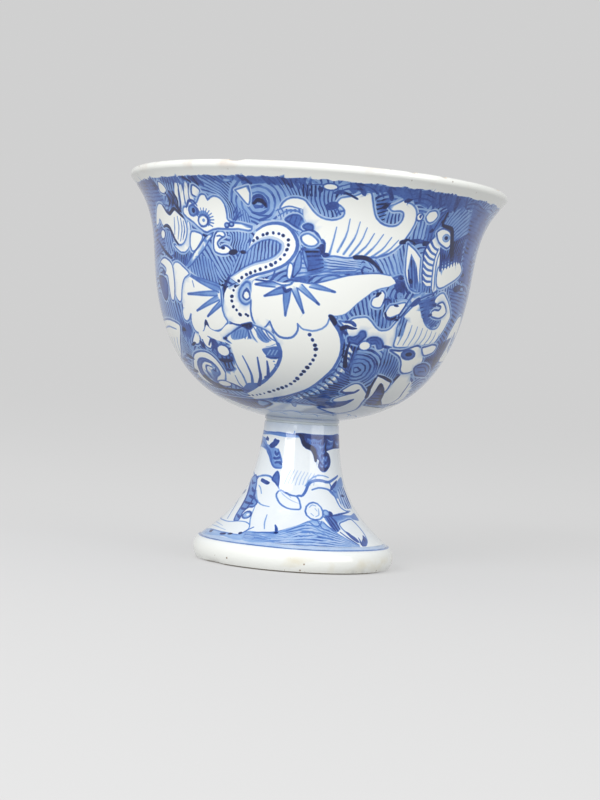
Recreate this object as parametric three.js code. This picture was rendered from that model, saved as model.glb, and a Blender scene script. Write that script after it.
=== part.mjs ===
// A porcelain stem cup: a thrown bowl with a flaring lip, carried on a hollow trumpet-shaped stem.
// The bowl and the stem are thrown and turned apart, then luted with a ring of liquid clay.
// Millimetres, +Z up. The origin is the centre of the flat ring that the foot stands on.
import * as THREE from "three";

// Bowl, outside
const LIP_RADIUS = 40; // widest point of the cup
const LIP_RISE = 49.1; // from the bowl's seat up to the lip's widest point
const LIP_FLARE = 48; // degrees above level, of the wall as it reaches the lip
const BELLY_RADIUS = 32.7; // where the round bottom turns into the wall
const BELLY_RISE = 24.6; // from the bowl's seat up to that height
const WALL_LEAN = 77; // degrees above level, of the wall at the belly
const UNDERSIDE_LIFT = 10; // degrees above level, of the underside beside the neck

// Bowl, how far each bend reaches along the curve before it turns
const UNDERSIDE_REACH = 10.1;
const BELLY_REACH = 18;
const WALL_REACH = 10.4;
const LIP_REACH = 10.2;

// Bowl, wall
const LIP_THICKNESS = 1.9; // the lip is rounded over this thickness
const WALL_THICKNESS = 2.3; // at the belly
const BASE_THICKNESS = 4.2; // over the neck
const SEAT_BOSS = 0.5; // turned step that centres the bowl on its neck

// Luting ring between bowl and stem
const LUTE_THICKNESS = 0.6;
const LUTE_RECESS = 0.25; // the slip is wiped in, a little under the neck's surface

// Stem and foot
const NECK_RADIUS = 8;
const STEM_HEIGHT = 29.9; // from the table to the stem's top face
const STEM_WALL = 3;
const NECK_LEAN = 86; // degrees above level, of the stem's side under the bowl
const NECK_REACH = 13;
const FLARE_RADIUS = 20.1; // where the flare meets the foot's rounded edge
const FLARE_SLOPE = 39; // degrees above level, of the flare there
const FLARE_REACH = 11.6;
const FOOT_RADIUS = 21.5; // widest point of the rounded edge
const FOOT_EDGE_HEIGHT = 4.9; // height of the rounded edge
const FOOT_RING_WIDTH = 2.4; // flat ring that stands on the table, bare of glaze
const FOOT_CHAMFER = 0.5; // where the glaze is cut back from the ring
const THROWING_RIDGE = 0.12; // soft ridges that the potter's finger leaves in the hollow
const RIDGE_PITCH = 3.4;

// Facets
const TURN_STEPS = 72;
const BEND_STEPS = 11;
const EDGE_STEPS = 6;

const radians = THREE.MathUtils.degToRad;

// A unit direction in the profile plane, x outwards from the axis and y up.
function heading(degrees) {
  return new THREE.Vector2(Math.cos(radians(degrees)), Math.sin(radians(degrees)));
}

// A smooth bend from one point to another that leaves and arrives along the two headings.
function bend(start, startDegrees, startReach, end, endDegrees, endReach) {
  const first = start.clone().addScaledVector(heading(startDegrees), startReach);
  const second = end.clone().addScaledVector(heading(endDegrees), -endReach);
  return new THREE.CubicBezierCurve(start, first, second, end);
}

// Points along a bend, with the direction square to it on its left side.
function samples(curve, steps) {
  return Array.from({ length: steps + 1 }, (_, i) => {
    const along = curve.getTangentAt(i / steps);
    return {
      point: curve.getPointAt(i / steps),
      side: new THREE.Vector2(-along.y, along.x),
      share: i / steps,
    };
  });
}

// A stretch of an ellipse about a centre, from one angle to another in degrees.
function arc(centre, radiusOut, radiusUp, fromDegrees, toDegrees, steps) {
  return Array.from({ length: steps + 1 }, (_, i) => {
    const turn = radians(THREE.MathUtils.lerp(fromDegrees, toDegrees, i / steps));
    return new THREE.Vector2(
      centre.x + radiusOut * Math.cos(turn),
      centre.y + radiusUp * Math.sin(turn),
    );
  });
}

// Turns a closed profile round the +Z axis.
function turned(name, profile, material) {
  const geometry = new THREE.LatheGeometry(profile, TURN_STEPS);
  geometry.rotateX(Math.PI / 2);
  const mesh = new THREE.Mesh(geometry, material);
  mesh.name = name;
  return mesh;
}

// The bowl stands in its own group, whose origin is the centre of its seat.
function bowlProfile() {
  const edge = new THREE.Vector2(NECK_RADIUS, SEAT_BOSS);
  const belly = new THREE.Vector2(BELLY_RADIUS, BELLY_RISE);
  const lip = new THREE.Vector2(LIP_RADIUS, LIP_RISE);
  const under = bend(edge, UNDERSIDE_LIFT, UNDERSIDE_REACH, belly, WALL_LEAN, BELLY_REACH);
  const wall = bend(belly, WALL_LEAN, WALL_REACH, lip, LIP_FLARE, LIP_REACH);
  const underside = samples(under, BEND_STEPS);
  const sides = samples(wall, BEND_STEPS);

  // The inside runs beside the outside, at a wall that thins from the base to the lip.
  const inner = (sample, from, to) => {
    const thickness = THREE.MathUtils.lerp(from, to, sample.share);
    return sample.point.clone().addScaledVector(sample.side, thickness);
  };
  const innerUnder = underside.map((s) => inner(s, BASE_THICKNESS, WALL_THICKNESS));
  const innerSides = sides.map((s) => inner(s, WALL_THICKNESS, LIP_THICKNESS));

  // A half round joins the two at the lip.
  const last = sides[BEND_STEPS];
  const middle = last.point.clone().addScaledVector(last.side, LIP_THICKNESS / 2);
  const start = LIP_FLARE - 90;
  const lipRound = arc(middle, LIP_THICKNESS / 2, LIP_THICKNESS / 2, start, start + 180, EDGE_STEPS);

  return [
    new THREE.Vector2(0, 0),
    new THREE.Vector2(NECK_RADIUS, 0),
    ...underside.map((s) => s.point),
    ...sides.slice(1, -1).map((s) => s.point),
    ...lipRound,
    ...innerSides.slice(1, -1).reverse(),
    ...innerUnder.slice(1).reverse(),
    new THREE.Vector2(0, innerUnder[0].y),
  ];
}

// The hollow stem and its foot, as one thrown piece.
function stemProfile() {
  const neck = new THREE.Vector2(NECK_RADIUS, STEM_HEIGHT);
  const flareEnd = new THREE.Vector2(FLARE_RADIUS, FOOT_EDGE_HEIGHT);
  const flare = bend(flareEnd, 180 - FLARE_SLOPE, FLARE_REACH, neck, 180 - NECK_LEAN, NECK_REACH);
  const outside = samples(flare, BEND_STEPS);

  // The hollow follows the flare at the stem's wall, with the potter's throwing ridges in it.
  const hollow = outside.slice(1).map((s) => {
    const ridge = THROWING_RIDGE * Math.sin((2 * Math.PI * s.point.y) / RIDGE_PITCH);
    return s.point.clone().addScaledVector(s.side, STEM_WALL + ridge);
  });
  hollow[hollow.length - 1].y = STEM_HEIGHT;

  // The rounded edge swells past the flare, and is cut back flat for the foot ring.
  const edgeMiddle = new THREE.Vector2(FLARE_RADIUS, FOOT_EDGE_HEIGHT / 2);
  const swell = FOOT_RADIUS - FLARE_RADIUS;
  const edge = arc(edgeMiddle, swell, FOOT_EDGE_HEIGHT / 2, -60, 90, EDGE_STEPS);
  const ringOut = FLARE_RADIUS - FOOT_CHAMFER / 2;
  const ringIn = ringOut - FOOT_RING_WIDTH;

  return [
    new THREE.Vector2(ringIn, 0),
    new THREE.Vector2(ringOut, 0),
    ...edge,
    ...outside.slice(1).map((s) => s.point),
    ...hollow.reverse(),
    new THREE.Vector2(ringIn, FOOT_CHAMFER),
    new THREE.Vector2(ringIn, 0),
  ];
}

// The slip that bonds the two, in its own group at the stem's top face.
function luteProfile() {
  const bore = NECK_RADIUS - STEM_WALL;
  const outer = NECK_RADIUS - LUTE_RECESS;
  return [
    new THREE.Vector2(bore, 0),
    new THREE.Vector2(NECK_RADIUS, 0),
    new THREE.Vector2(outer, LUTE_THICKNESS / 2),
    new THREE.Vector2(NECK_RADIUS, LUTE_THICKNESS),
    new THREE.Vector2(bore, LUTE_THICKNESS),
    new THREE.Vector2(bore, 0),
  ];
}

const glazed = new THREE.MeshStandardMaterial({ color: 0xe9ece6, roughness: 0.12, metalness: 0 });
const painted = new THREE.MeshStandardMaterial({ color: 0x9fb2d8, roughness: 0.12, metalness: 0 });
const slip = new THREE.MeshStandardMaterial({ color: 0xdfe2dc, roughness: 0.35, metalness: 0 });

const cup = new THREE.Group();

const stem = turned("stem_foot", stemProfile(), glazed);
cup.add(stem);

const lute = turned("luting_ring", luteProfile(), slip);
lute.position.z = STEM_HEIGHT;
cup.add(lute);

const bowl = turned("bowl", bowlProfile(), painted);
bowl.position.z = STEM_HEIGHT + LUTE_THICKNESS;
cup.add(bowl);

export default cup;
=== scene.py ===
# %% [markdown]
# A porcelain stem cup, painted in cobalt blue under a clear glaze with sea creatures among waves. It is
# three pieces of porcelain: a thrown bowl, a thrown hollow stem with its foot, and the ring of clay slip
# that bonds the two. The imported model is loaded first. It is a fixed frame, and every visible piece is
# built inside it.

# %% Load the frame
import math
import random

import bmesh
import bpy
import numpy as np
from mathutils import Matrix, Vector
from mathutils.geometry import delaunay_2d_cdt, interpolate_bezier


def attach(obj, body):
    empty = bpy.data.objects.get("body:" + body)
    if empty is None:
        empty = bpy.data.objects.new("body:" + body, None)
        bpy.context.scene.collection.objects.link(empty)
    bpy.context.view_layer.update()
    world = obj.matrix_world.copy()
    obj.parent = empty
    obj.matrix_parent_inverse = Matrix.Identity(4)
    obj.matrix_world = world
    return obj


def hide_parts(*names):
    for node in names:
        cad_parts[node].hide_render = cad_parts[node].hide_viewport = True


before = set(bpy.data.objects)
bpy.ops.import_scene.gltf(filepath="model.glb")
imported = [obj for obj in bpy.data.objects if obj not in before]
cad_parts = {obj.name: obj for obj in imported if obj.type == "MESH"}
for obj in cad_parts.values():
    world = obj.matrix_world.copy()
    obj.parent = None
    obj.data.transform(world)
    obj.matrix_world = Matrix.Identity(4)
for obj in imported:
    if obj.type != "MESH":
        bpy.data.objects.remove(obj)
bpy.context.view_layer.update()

# %% [markdown]
# The camera stands 38 cm in front of the cup, level with its middle. It is turned a few degrees about its
# own line of sight, because the photograph was taken by hand with the cup held a little off level.

# %% Camera
CAMERA_LENS = 80.1
CAMERA_SENSOR = 36
CAMERA_DISTANCE = 0.3817
CAMERA_HEIGHT = 0.041
CAMERA_ROLL = math.radians(4.12)
AIM_RIGHT = 0.0032
AIM_UP = 0.0159

ahead = Vector((AIM_RIGHT, AIM_UP, -1)).normalized()
up = Vector((math.sin(CAMERA_ROLL), math.cos(CAMERA_ROLL), 0))
up = (up - up.dot(ahead) * ahead).normalized()
turn = Matrix((ahead.cross(up), ahead, up))
camera = bpy.data.objects.new("camera", bpy.data.cameras.new("camera"))
camera.data.lens = CAMERA_LENS
camera.data.sensor_width = CAMERA_SENSOR
camera.matrix_world = Matrix.Translation((0, -CAMERA_DISTANCE, CAMERA_HEIGHT)) @ turn.to_4x4()
bpy.context.scene.collection.objects.link(camera)
bpy.context.scene.camera = camera
print("camera at", [round(value, 3) for value in camera.matrix_world.translation])

# %% [markdown]
# Both thrown pieces are turned shapes, so each is settled by one outline. A potter thinks of that outline
# as a few bends, each leaving one point in one direction and arriving at the next in another. The same
# bends and sizes shape the solids of the frame, but here they are sampled finely. Sizes are in millimetres.

# %% Outlines of the bowl and the stem
BOWL_SEAT = 30.5
SEAT_BOSS = 0.5
NECK_RADIUS = 8.0
BELLY = (32.7, 55.1)
LIP = (40.0, 79.6)
UNDERSIDE_LIFT, WALL_LEAN, LIP_FLARE = 10, 77, 48
UNDER_REACH, BELLY_REACH = 10.1, 18.0
SIDE_REACH, LIP_REACH = 10.4, 10.2
LIP_THICKNESS, WALL_THICKNESS, BASE_THICKNESS = 1.9, 2.3, 4.2
STEM_HEIGHT = 29.9
STEM_WALL = 3.0
FLARE_END = (20.1, 4.9)
FLARE_SLOPE, NECK_LEAN = 39, 86
FLARE_REACH, NECK_REACH = 11.6, 13.0
FOOT_SWELL = 1.4
FOOT_FROM, FOOT_TO = -60, 90
FOOT_CHAMFER = 0.5
FOOT_RING_WIDTH = 2.4
FINE = 240


def heading(degrees):
    return Vector((math.cos(math.radians(degrees)), math.sin(math.radians(degrees))))


def bend(start, start_degrees, start_reach, end, end_degrees, end_reach):
    """Points of a smooth bend in the profile plane, as (distance from the axis, height)."""
    start, end = Vector(start), Vector(end)
    first = start + start_reach * heading(start_degrees)
    second = end - end_reach * heading(end_degrees)
    return np.array(interpolate_bezier(start, first, second, end, FINE))


def elbow(centre, out, up, start_degrees, end_degrees, steps):
    """Points of a stretch of an ellipse."""
    turns = np.radians(np.linspace(start_degrees, end_degrees, steps))
    return np.stack([centre[0] + out * np.cos(turns), centre[1] + up * np.sin(turns)], 1)


def lengths(points):
    """How far along the outline each of its points lies."""
    return np.concatenate([[0], np.cumsum(np.hypot(*np.diff(points, axis=0).T))])


def left_sides(points):
    """Unit directions square to an outline, on its left side."""
    along = np.gradient(points, axis=0)
    along /= np.hypot(*along.T)[:, None]
    return np.stack([-along[:, 1], along[:, 0]], 1)


def joined(*stretches):
    """One outline from several that meet end to end."""
    return np.concatenate([stretches[0]] + [stretch[1:] for stretch in stretches[1:]])


def beside(points, thick_start, thick_end):
    """The outline's other side, at a wall that changes evenly in thickness along it."""
    share = lengths(points) / lengths(points)[-1]
    return points + left_sides(points) * (thick_start + (thick_end - thick_start) * share)[:, None]


neck_edge = (NECK_RADIUS, BOWL_SEAT + SEAT_BOSS)
bowl_under = bend(neck_edge, UNDERSIDE_LIFT, UNDER_REACH, BELLY, WALL_LEAN, BELLY_REACH)
bowl_side = bend(BELLY, WALL_LEAN, SIDE_REACH, LIP, LIP_FLARE, LIP_REACH)
bowl_wall = joined(bowl_under, bowl_side)
neck_top = (NECK_RADIUS, STEM_HEIGHT)
stem_flare = bend(FLARE_END, 180 - FLARE_SLOPE, FLARE_REACH, neck_top, 180 - NECK_LEAN, NECK_REACH)
foot_middle = (FLARE_END[0], FLARE_END[1] / 2)
foot_edge = elbow(foot_middle, FOOT_SWELL, FLARE_END[1] / 2, FOOT_FROM, FOOT_TO, 60)
print("bowl wall", round(lengths(bowl_wall)[-1], 1), "mm")
print("stem flare", round(lengths(stem_flare)[-1], 1), "mm")

# %% [markdown]
# The painting is cobalt brushed on the raw clay, under the glaze. It could be a picture wrapped round the
# cup, but here every brush stroke is drawn, so that it stays sharp at any distance. A place on a wall is
# two numbers that a decorator could measure with a tape: degrees round from the front, and millimetres up
# the wall. A wall keeps the list of its marks, in the order in which they are brushed.

# %% A wall and its places
class Wall:
    """A turned wall that is painted. Spots on it are (degrees round from the front, millimetres up it)."""

    def __init__(self, outline, start=0.0):
        self.outline = outline
        self.along = lengths(outline) - start
        self.sides = left_sides(outline)
        self.marks = []
        self.turned_by = 0.0

    def radius(self, up):
        return np.interp(up, self.along, self.outline[:, 0])

    def degree(self, up):
        """Millimetres that one degree spans at a height up the wall."""
        return np.radians(self.radius(up))

    def points(self, spots):
        """Places in space, in metres."""
        round_by = np.radians(spots[:, 0])
        out = self.radius(spots[:, 1])
        height = np.interp(spots[:, 1], self.along, self.outline[:, 1])
        return np.stack([out * np.sin(round_by), -out * np.cos(round_by), height], 1) / 1000

    def normals(self, spots):
        """Directions straight out of the wall's painted face."""
        round_by = np.radians(spots[:, 0])
        out = -np.interp(spots[:, 1], self.along, self.sides[:, 0])
        up = -np.interp(spots[:, 1], self.along, self.sides[:, 1])
        return np.stack([out * np.sin(round_by), -out * np.cos(round_by), up], 1)

    def moved(self, spots):
        """Spots of a motif, carried round the wall to where it is repeated."""
        return np.array(spots, float) + (self.turned_by, 0)


bowl = Wall(bowl_wall)
stem = Wall(joined(foot_edge, stem_flare), float(lengths(foot_edge)[-1]))
for wall in (bowl, stem):
    print("wall from", round(float(wall.along[0]), 1), "to", round(float(wall.along[-1]), 1), "mm")

# %% [markdown]
# A brush path is a smooth curve through a few points. A point that is given twice running is a sharp
# corner. The curve is thinned again to the points that its shape needs, so that straight strokes stay
# cheap.

# %% Brush paths
DEGREE_WIDTH = 0.57
PATH_STEP = 0.35
PATH_ERROR = 0.035
LONGEST_STEP = 2.4
METRE = np.array([DEGREE_WIDTH, 1.0])


def curve_between(before, start, end, after):
    """A curve from start to end that suits the points before and after them."""
    pairs = ((before, start), (start, end), (end, after))
    lead, span, tail = [max(np.hypot(*((b - a) * METRE)), 1e-3) ** 0.5 for a, b in pairs]
    first = lead**2 * end - span**2 * before + (2 * lead**2 + 3 * lead * span + span**2) * start
    second = tail**2 * start - span**2 * after + (2 * tail**2 + 3 * tail * span + span**2) * end
    first /= 3 * lead * (lead + span)
    second /= 3 * tail * (tail + span)
    count = 2 + int(span**2 / PATH_STEP)
    return [spot[:2] for spot in interpolate_bezier(*(Vector(p) for p in (start, first, second, end)), count)]


def run_through(points, ring):
    """A smooth run through points, round and back to the first if it is a ring."""
    spots = [np.array(point, float) for point in points]
    if ring:
        spots = [spots[-1]] + spots + spots[:2]
    else:
        spots = [2 * spots[0] - spots[1]] + spots + [2 * spots[-1] - spots[-2]]
    curve = [tuple(spots[1])]
    for before, start, end, after in zip(spots, spots[1:], spots[2:], spots[3:]):
        curve += curve_between(before, start, end, after)[1:]
    return curve


def thinned(curve):
    """The curve's first and last points, and those between them that its shape needs."""
    curve = np.array(curve)
    keep = [0]
    while keep[-1] < len(curve) - 1:
        start = keep[-1]
        end = start + 1
        while end + 1 < len(curve):
            chord = (curve[end + 1] - curve[start]) * METRE
            inner = (curve[start + 1 : end + 1] - curve[start]) * METRE
            length = max(np.hypot(*chord), 1e-6)
            off = np.abs(inner[:, 0] * chord[1] - inner[:, 1] * chord[0]) / length
            if length > LONGEST_STEP or off.max() > PATH_ERROR:
                break
            end += 1
        keep.append(end)
    return curve[keep]


def brush_path(points, closed=False):
    """A smooth path through the points, with a sharp corner wherever a point is given twice."""
    points = [tuple(point) for point in points]
    corners = [i for i in range(len(points)) if points[i] == points[i - 1]]
    if closed and not corners:
        return thinned(run_through(points, True))
    if closed:
        points = points[corners[0] :] + points[: corners[0]]
        points.append(points[0])
    runs = [[points[0]]]
    for point in points[1:]:
        if point == runs[-1][-1]:
            runs.append([point])
        else:
            runs[-1].append(point)
    curve = []
    for run in runs:
        if len(run) > 1:
            curve += run_through(run, False)[1 if curve else 0 :]
    return thinned(curve)


print("a hook through four points keeps", len(brush_path([(0, 0), (9, 2), (9, 5), (4, 6)])), "of its points")

# %% [markdown]
# There are two kinds of mark: a line, with a width that changes along it as a brush is pressed and lifted,
# and an area. Each has a tone, the share of the darkest cobalt. A mark is ink, which only darkens, or
# cover, which replaces what is under it, as the white figures do, because the painter left them bare. Marks
# go on the wall that is called wall at the time. The random numbers are the hand's unevenness, the same at
# every run.

# %% Marks
SOFT_EDGE = 0.16
PALE, SOFT, MID, DEEP, INK = 0.2, 0.36, 0.58, 0.78, 1.0
WASH, STROKE = 0.28, 0.74
HALO = 0.3
dice = random.Random(14)


def add_mark(spots, tone, widths=None, cover=False, edged=True):
    """Brushes a mark on the wall. widths are spread evenly along it, and an area has none."""
    mark = {"spots": wall.moved(spots), "tone": tone, "cover": cover, "edged": edged, "widths": None}
    if widths is not None:
        share = np.linspace(0, 1, len(spots))
        mark["widths"] = np.interp(share, np.linspace(0, 1, len(widths)), widths)
    wall.marks.append(mark)


def line(points, width, tone, press=(0.7, 1, 1, 0.6)):
    """A brush line. press is how the width changes from its start to its end."""
    add_mark(brush_path(points), tone, [width * value for value in press])


def over(points, widths, tone):
    """A brush line that hides what it crosses, as a line does that was left bare."""
    add_mark(brush_path(points), tone, widths, cover=True)


def left_bare(points, edged=True):
    """An area that was left without colour, and has no outline."""
    add_mark(brush_path(points, True), 0, cover=True, edged=edged)


def lines(paths, width, tone=DEEP, press=(0.6, 1, 1, 0.6)):
    """Several brush lines of one kind."""
    for path in paths:
        line(path, width, tone, press)


def area(points, tone, edged=True):
    """An area of wash."""
    add_mark(brush_path(points, True), tone, edged=edged)


def figure(points, width, tone, inside=0.0, halo=HALO):
    """A figure left white, with a brushed outline. The water's fine lines stop a little short of it."""
    spots = brush_path(points, True)
    rim = np.vstack([spots, spots[:1]])
    if halo > 0:
        add_mark(rim, WASH / 2, [width + 2 * halo] * 2, cover=True)
    add_mark(spots, inside, cover=True, edged=width == 0)
    if width > 0:
        add_mark(rim, tone, [width, width])


print("tones from pale to ink", PALE, SOFT, MID, DEEP, INK)

# %% [markdown]
# Eyes, drops, dabs and blots are small ovals. A blot is one whose rim is pushed in and out at random.

# %% Ovals, dabs and blots
def ellipse(centre, out, up, tilt=0, steps=14):
    """Spots of an ellipse whose half widths are in millimetres."""
    turns = np.radians(np.arange(steps) * 360 / steps)
    across, rise = out * np.cos(turns), up * np.sin(turns)
    lean = math.radians(tilt)
    right = across * math.cos(lean) - rise * math.sin(lean)
    higher = across * math.sin(lean) + rise * math.cos(lean)
    return np.array(centre) + np.stack([right, higher], 1) / (float(wall.degree(centre[1])), 1.0)


def oval(centre, out, up, tilt=0, inside=0.0, width=0.35, tone=DEEP, steps=12):
    """A small oval, white or filled, with an outline or none."""
    spots = ellipse(centre, out, up, tilt, steps)
    add_mark(spots, inside, cover=True, edged=width == 0)
    if width > 0:
        add_mark(np.vstack([spots, spots[:1]]), tone, [width, width])


def blots(blobs):
    """Ink blots, each given as degrees round, millimetres up, half length, half height and tilt."""
    for turned, up, out, rise, tilt in blobs:
        rim = ellipse((turned, up), out * 0.95, rise * 0.95, tilt, 7)
        rough = [dice.uniform(0.7, 1.35) for _ in rim]
        spots = [(turned + (x - turned) * push, up + (y - up) * push) for (x, y), push in zip(rim, rough)]
        add_mark(brush_path(spots, True), dice.uniform(0.8, 1), cover=True)


def shares_of(points, shares):
    """Spots at given shares of the length of a path."""
    spots = brush_path(points)
    metre = np.stack([wall.degree(spots[:, 1]), np.ones(len(spots))], 1)
    steps = np.hypot(*((spots[1:] - spots[:-1]) * metre[1:]).T)
    along = np.concatenate([[0], np.cumsum(steps)])
    found = [np.interp(np.array(shares) * along[-1], along, spots[:, axis]) for axis in (0, 1)]
    return np.stack(found, 1), along[-1]


def dotted(points, pitch, size):
    """A row of round dabs of ink along a path."""
    count = max(2, round(shares_of(points, [0])[1] / pitch))
    shares = [(i + 0.5 + dice.uniform(-0.14, 0.14)) / count for i in range(count)]
    for turned, up in shares_of(points, shares)[0]:
        reach = size * dice.uniform(0.4, 0.56)
        oval((turned, up), reach * dice.uniform(1, 1.3), reach, dice.uniform(0, 180), INK, 0, steps=7)


print("an oval has", len(ellipse((0, 30), 2, 1)), "spots on its rim")

# %% [markdown]
# Most of the sea is fine parallel lines over a thin wash. There are hundreds of them, so they are not cut
# into the mesh. Each patch of them only carries a count, which is a whole number at every line. The glaze
# material draws a line wherever the count is whole.

# %% Patches of fine lines
FINE_PITCH = 0.98
SCALE_ROW = 4.2
SCALE_GAP = 7.4
SCALE_SMALL, SCALE_LARGE = 4.4, 5.8
SCALE_SPREAD, SCALE_LEAN = 105, 60
SCALE_STRETCH = 1.15


def add_patch(outline, phase, wash, tone):
    """A patch of wash with fine lines in it. phase counts the lines: at a line it is a whole number."""
    add_mark(outline, wash, cover=True)
    wall.marks[-1].update(phase=phase, lines=tone)


def off_path(spots, path, scale):
    """How far spots are from a path, in millimetres."""
    start, way = path[:-1] * scale, np.diff(path, axis=0) * scale
    gap = spots[:, None] * scale - start
    share = np.clip((gap * way).sum(2) / np.maximum((way * way).sum(1), 1e-9), 0, 1)
    return np.hypot(*(gap - share[:, :, None] * way).transpose(2, 0, 1)).min(1)


def stroke_phase(strokes):
    """Counts the lines of a patch from the strokes that were drawn in it."""
    strokes = [wall.moved(stroke) for stroke in strokes]
    scale = np.array([float(wall.degree(strokes[0][0, 1])), 1.0])

    def phase(spots):
        far = np.stack([off_path(spots, stroke, scale) for stroke in strokes], 1)
        far = np.pad(far, ((0, 0), (1, 1)), constant_values=1e9)
        row = np.arange(len(spots))
        nearest = far[:, 1:-1].argmin(1) + 1
        own, before, after = far[row, nearest], far[row, nearest - 1], far[row, nearest + 1]
        share = own / np.maximum(own + np.minimum(before, after), 1e-9)
        return nearest + np.where(after < before, share, -share)

    return phase


def ring_phase(centre, pitch, stretch):
    """Counts the rings of a patch out from its centre."""
    scale = np.array([float(wall.degree(centre[1])) / stretch, 1.0]) / pitch
    centre = wall.moved([centre])[0]

    def phase(spots):
        return np.hypot(*((spots - centre) * scale).T)

    return phase


def hatch(rails, pitch, tone=STROKE, wash=WASH, loose=0.13):
    """A patch with fine lines across the rails, which are paths, from the first to the last."""
    longest = max(shares_of(rail, [0])[1] for rail in rails)
    count = max(2, round(longest / pitch))
    shares = [(i + dice.uniform(-loose, loose)) / count for i in range(count + 1)]
    start, end = brush_path(rails[0]), brush_path(rails[-1])
    sides = [shares_of(rail, [0, 1])[0] for rail in rails[1:-1]]
    outline = list(start) + [side[1] for side in sides] + list(end[::-1]) + [side[0] for side in sides[::-1]]
    steps = [shares_of(rail, shares)[0] for rail in rails]
    strokes = [np.array(run_through(stroke, False)[::3]) for stroke in zip(*steps)]
    add_patch(outline, stroke_phase(strokes), wash * dice.uniform(0.8, 1.2), tone)


def whorl(centre, radius, start, end, tone=STROKE, wash=WASH, pitch=FINE_PITCH, stretch=1.0):
    """A patch with rings or arcs in it round one centre, as in a whirlpool."""
    steps = max(8, round(radius * math.radians(abs(end - start)) / 1.2))
    turns = np.radians(np.linspace(start, end, steps + 1)[: -1 if end - start == 360 else None])
    wash *= dice.uniform(0.8, 1.2)
    flat = np.stack([radius * stretch * np.cos(turns), radius * np.sin(turns)], 1)
    if end - start < 190:
        flat = np.vstack([flat, [(0, 0)]])
    outline = np.array(centre) + flat / (float(wall.degree(centre[1])), 1.0)
    add_patch(outline, ring_phase(centre, pitch, stretch), wash, tone)


def open_sea(low, high):
    """Scales of sea all over a wall, each a little different, for the figures to be laid upon."""
    add_mark([(-180, low), (180, low), (180, high), (-180, high)], SOFT, cover=True, edged=False)
    for row, up in enumerate(np.arange(high, low, -SCALE_ROW)):
        count = round(360 / (SCALE_GAP / float(wall.degree(up))))
        for step in range(count):
            turned = -180 + 360 * (step + row % 2 / 2 + dice.uniform(-0.2, 0.2)) / count
            aim = 90 + dice.uniform(-SCALE_LEAN, SCALE_LEAN)
            centre = (turned, up + dice.uniform(-1, 1))
            radius = dice.uniform(SCALE_SMALL, SCALE_LARGE)
            whorl(centre, radius, aim - SCALE_SPREAD, aim + SCALE_SPREAD, stretch=SCALE_STRETCH)


print("fine lines lie", FINE_PITCH, "mm apart")

# %% [markdown]
# The bowl's painting, seen from the front. The sea goes first: a pale wash, with fine lines drawn across it
# that follow the water. The white figures are laid over it afterwards, so the lines stop cleanly at their
# edges.

# %% The sea behind the dragon
def sea_behind_dragon():
    hatch([
        [(-76, 60.6), (-83, 56), (-77, 50), (-82, 44)], [(-62, 60), (-60, 56), (-64, 46)],
    ], 1.15, DEEP, MID * 0.8)
    hatch([[(-58, 60.8), (-47, 60.8)], [(-60, 57), (-49, 57)]], 0.92)
    hatch([[(-58, 58), (-49, 57.8)], [(-56, 55), (-50, 55.5)], [(-57, 53), (-48, 53)]], 0.85, INK, MID)
    hatch([[(-50, 60.4), (-41, 60.4)], [(-50, 54), (-40, 55.6)]], 1.1)
    falls = [[(-41, 57), (-40, 60.4), (-27, 61.4)], [(-34, 56.6), (-25.4, 59)]]
    hatch(falls + [[(-30.8, 54.6), (-22.4, 55)], [(-30, 51.4), (-21.4, 51.4)]], 1.3)
    hatch([[(-31, 50.4), (-22, 50)], [(-29, 48.4), (-22, 48.4)], [(-30.4, 45.8), (-24, 45.8)]], 0.79)
    hatch([
        [(-48, 43.6), (-38, 48.6), (-31, 46.6), (-24, 45.6)],
        [(-35, 37.8), (-31, 40), (-27.5, 42), (-22, 43.4)],
    ], 1.25)
    hatch([
        [(-52, 43), (-42, 44.8), (-36, 43.4)], [(-50, 41.6), (-39, 39.4), (-33, 38.4)],
    ], 0.85, DEEP, SOFT)
    hatch([
        [(-57, 47), (-47.5, 45.6)], [(-57, 44.6), (-48.4, 44)], [(-56, 43), (-49, 42.4)],
    ], 0.79, INK, MID)
    hatch([[(-65, 50.4), (-57, 49.4)], [(-62, 45), (-55, 45.4)]], 0.92)
    hatch([[(-80, 37), (-56, 37)], [(-80, 31), (-54, 31)]], 1.1, DEEP, SOFT)
    hatch([[(-60, 30.8), (-52, 33), (-49, 32)], [(-60, 28), (-50.8, 27), (-44, 29)]], 0.98, DEEP, MID)
    hatch([[(-68, 29), (-60, 29)], [(-66, 24), (-56, 24)], [(-60, 22), (-44, 25.4)]], 0.92)

# %% [markdown]
# Between the figures the water stands upright in the hollows of the waves and lies level over the wing.

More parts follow.
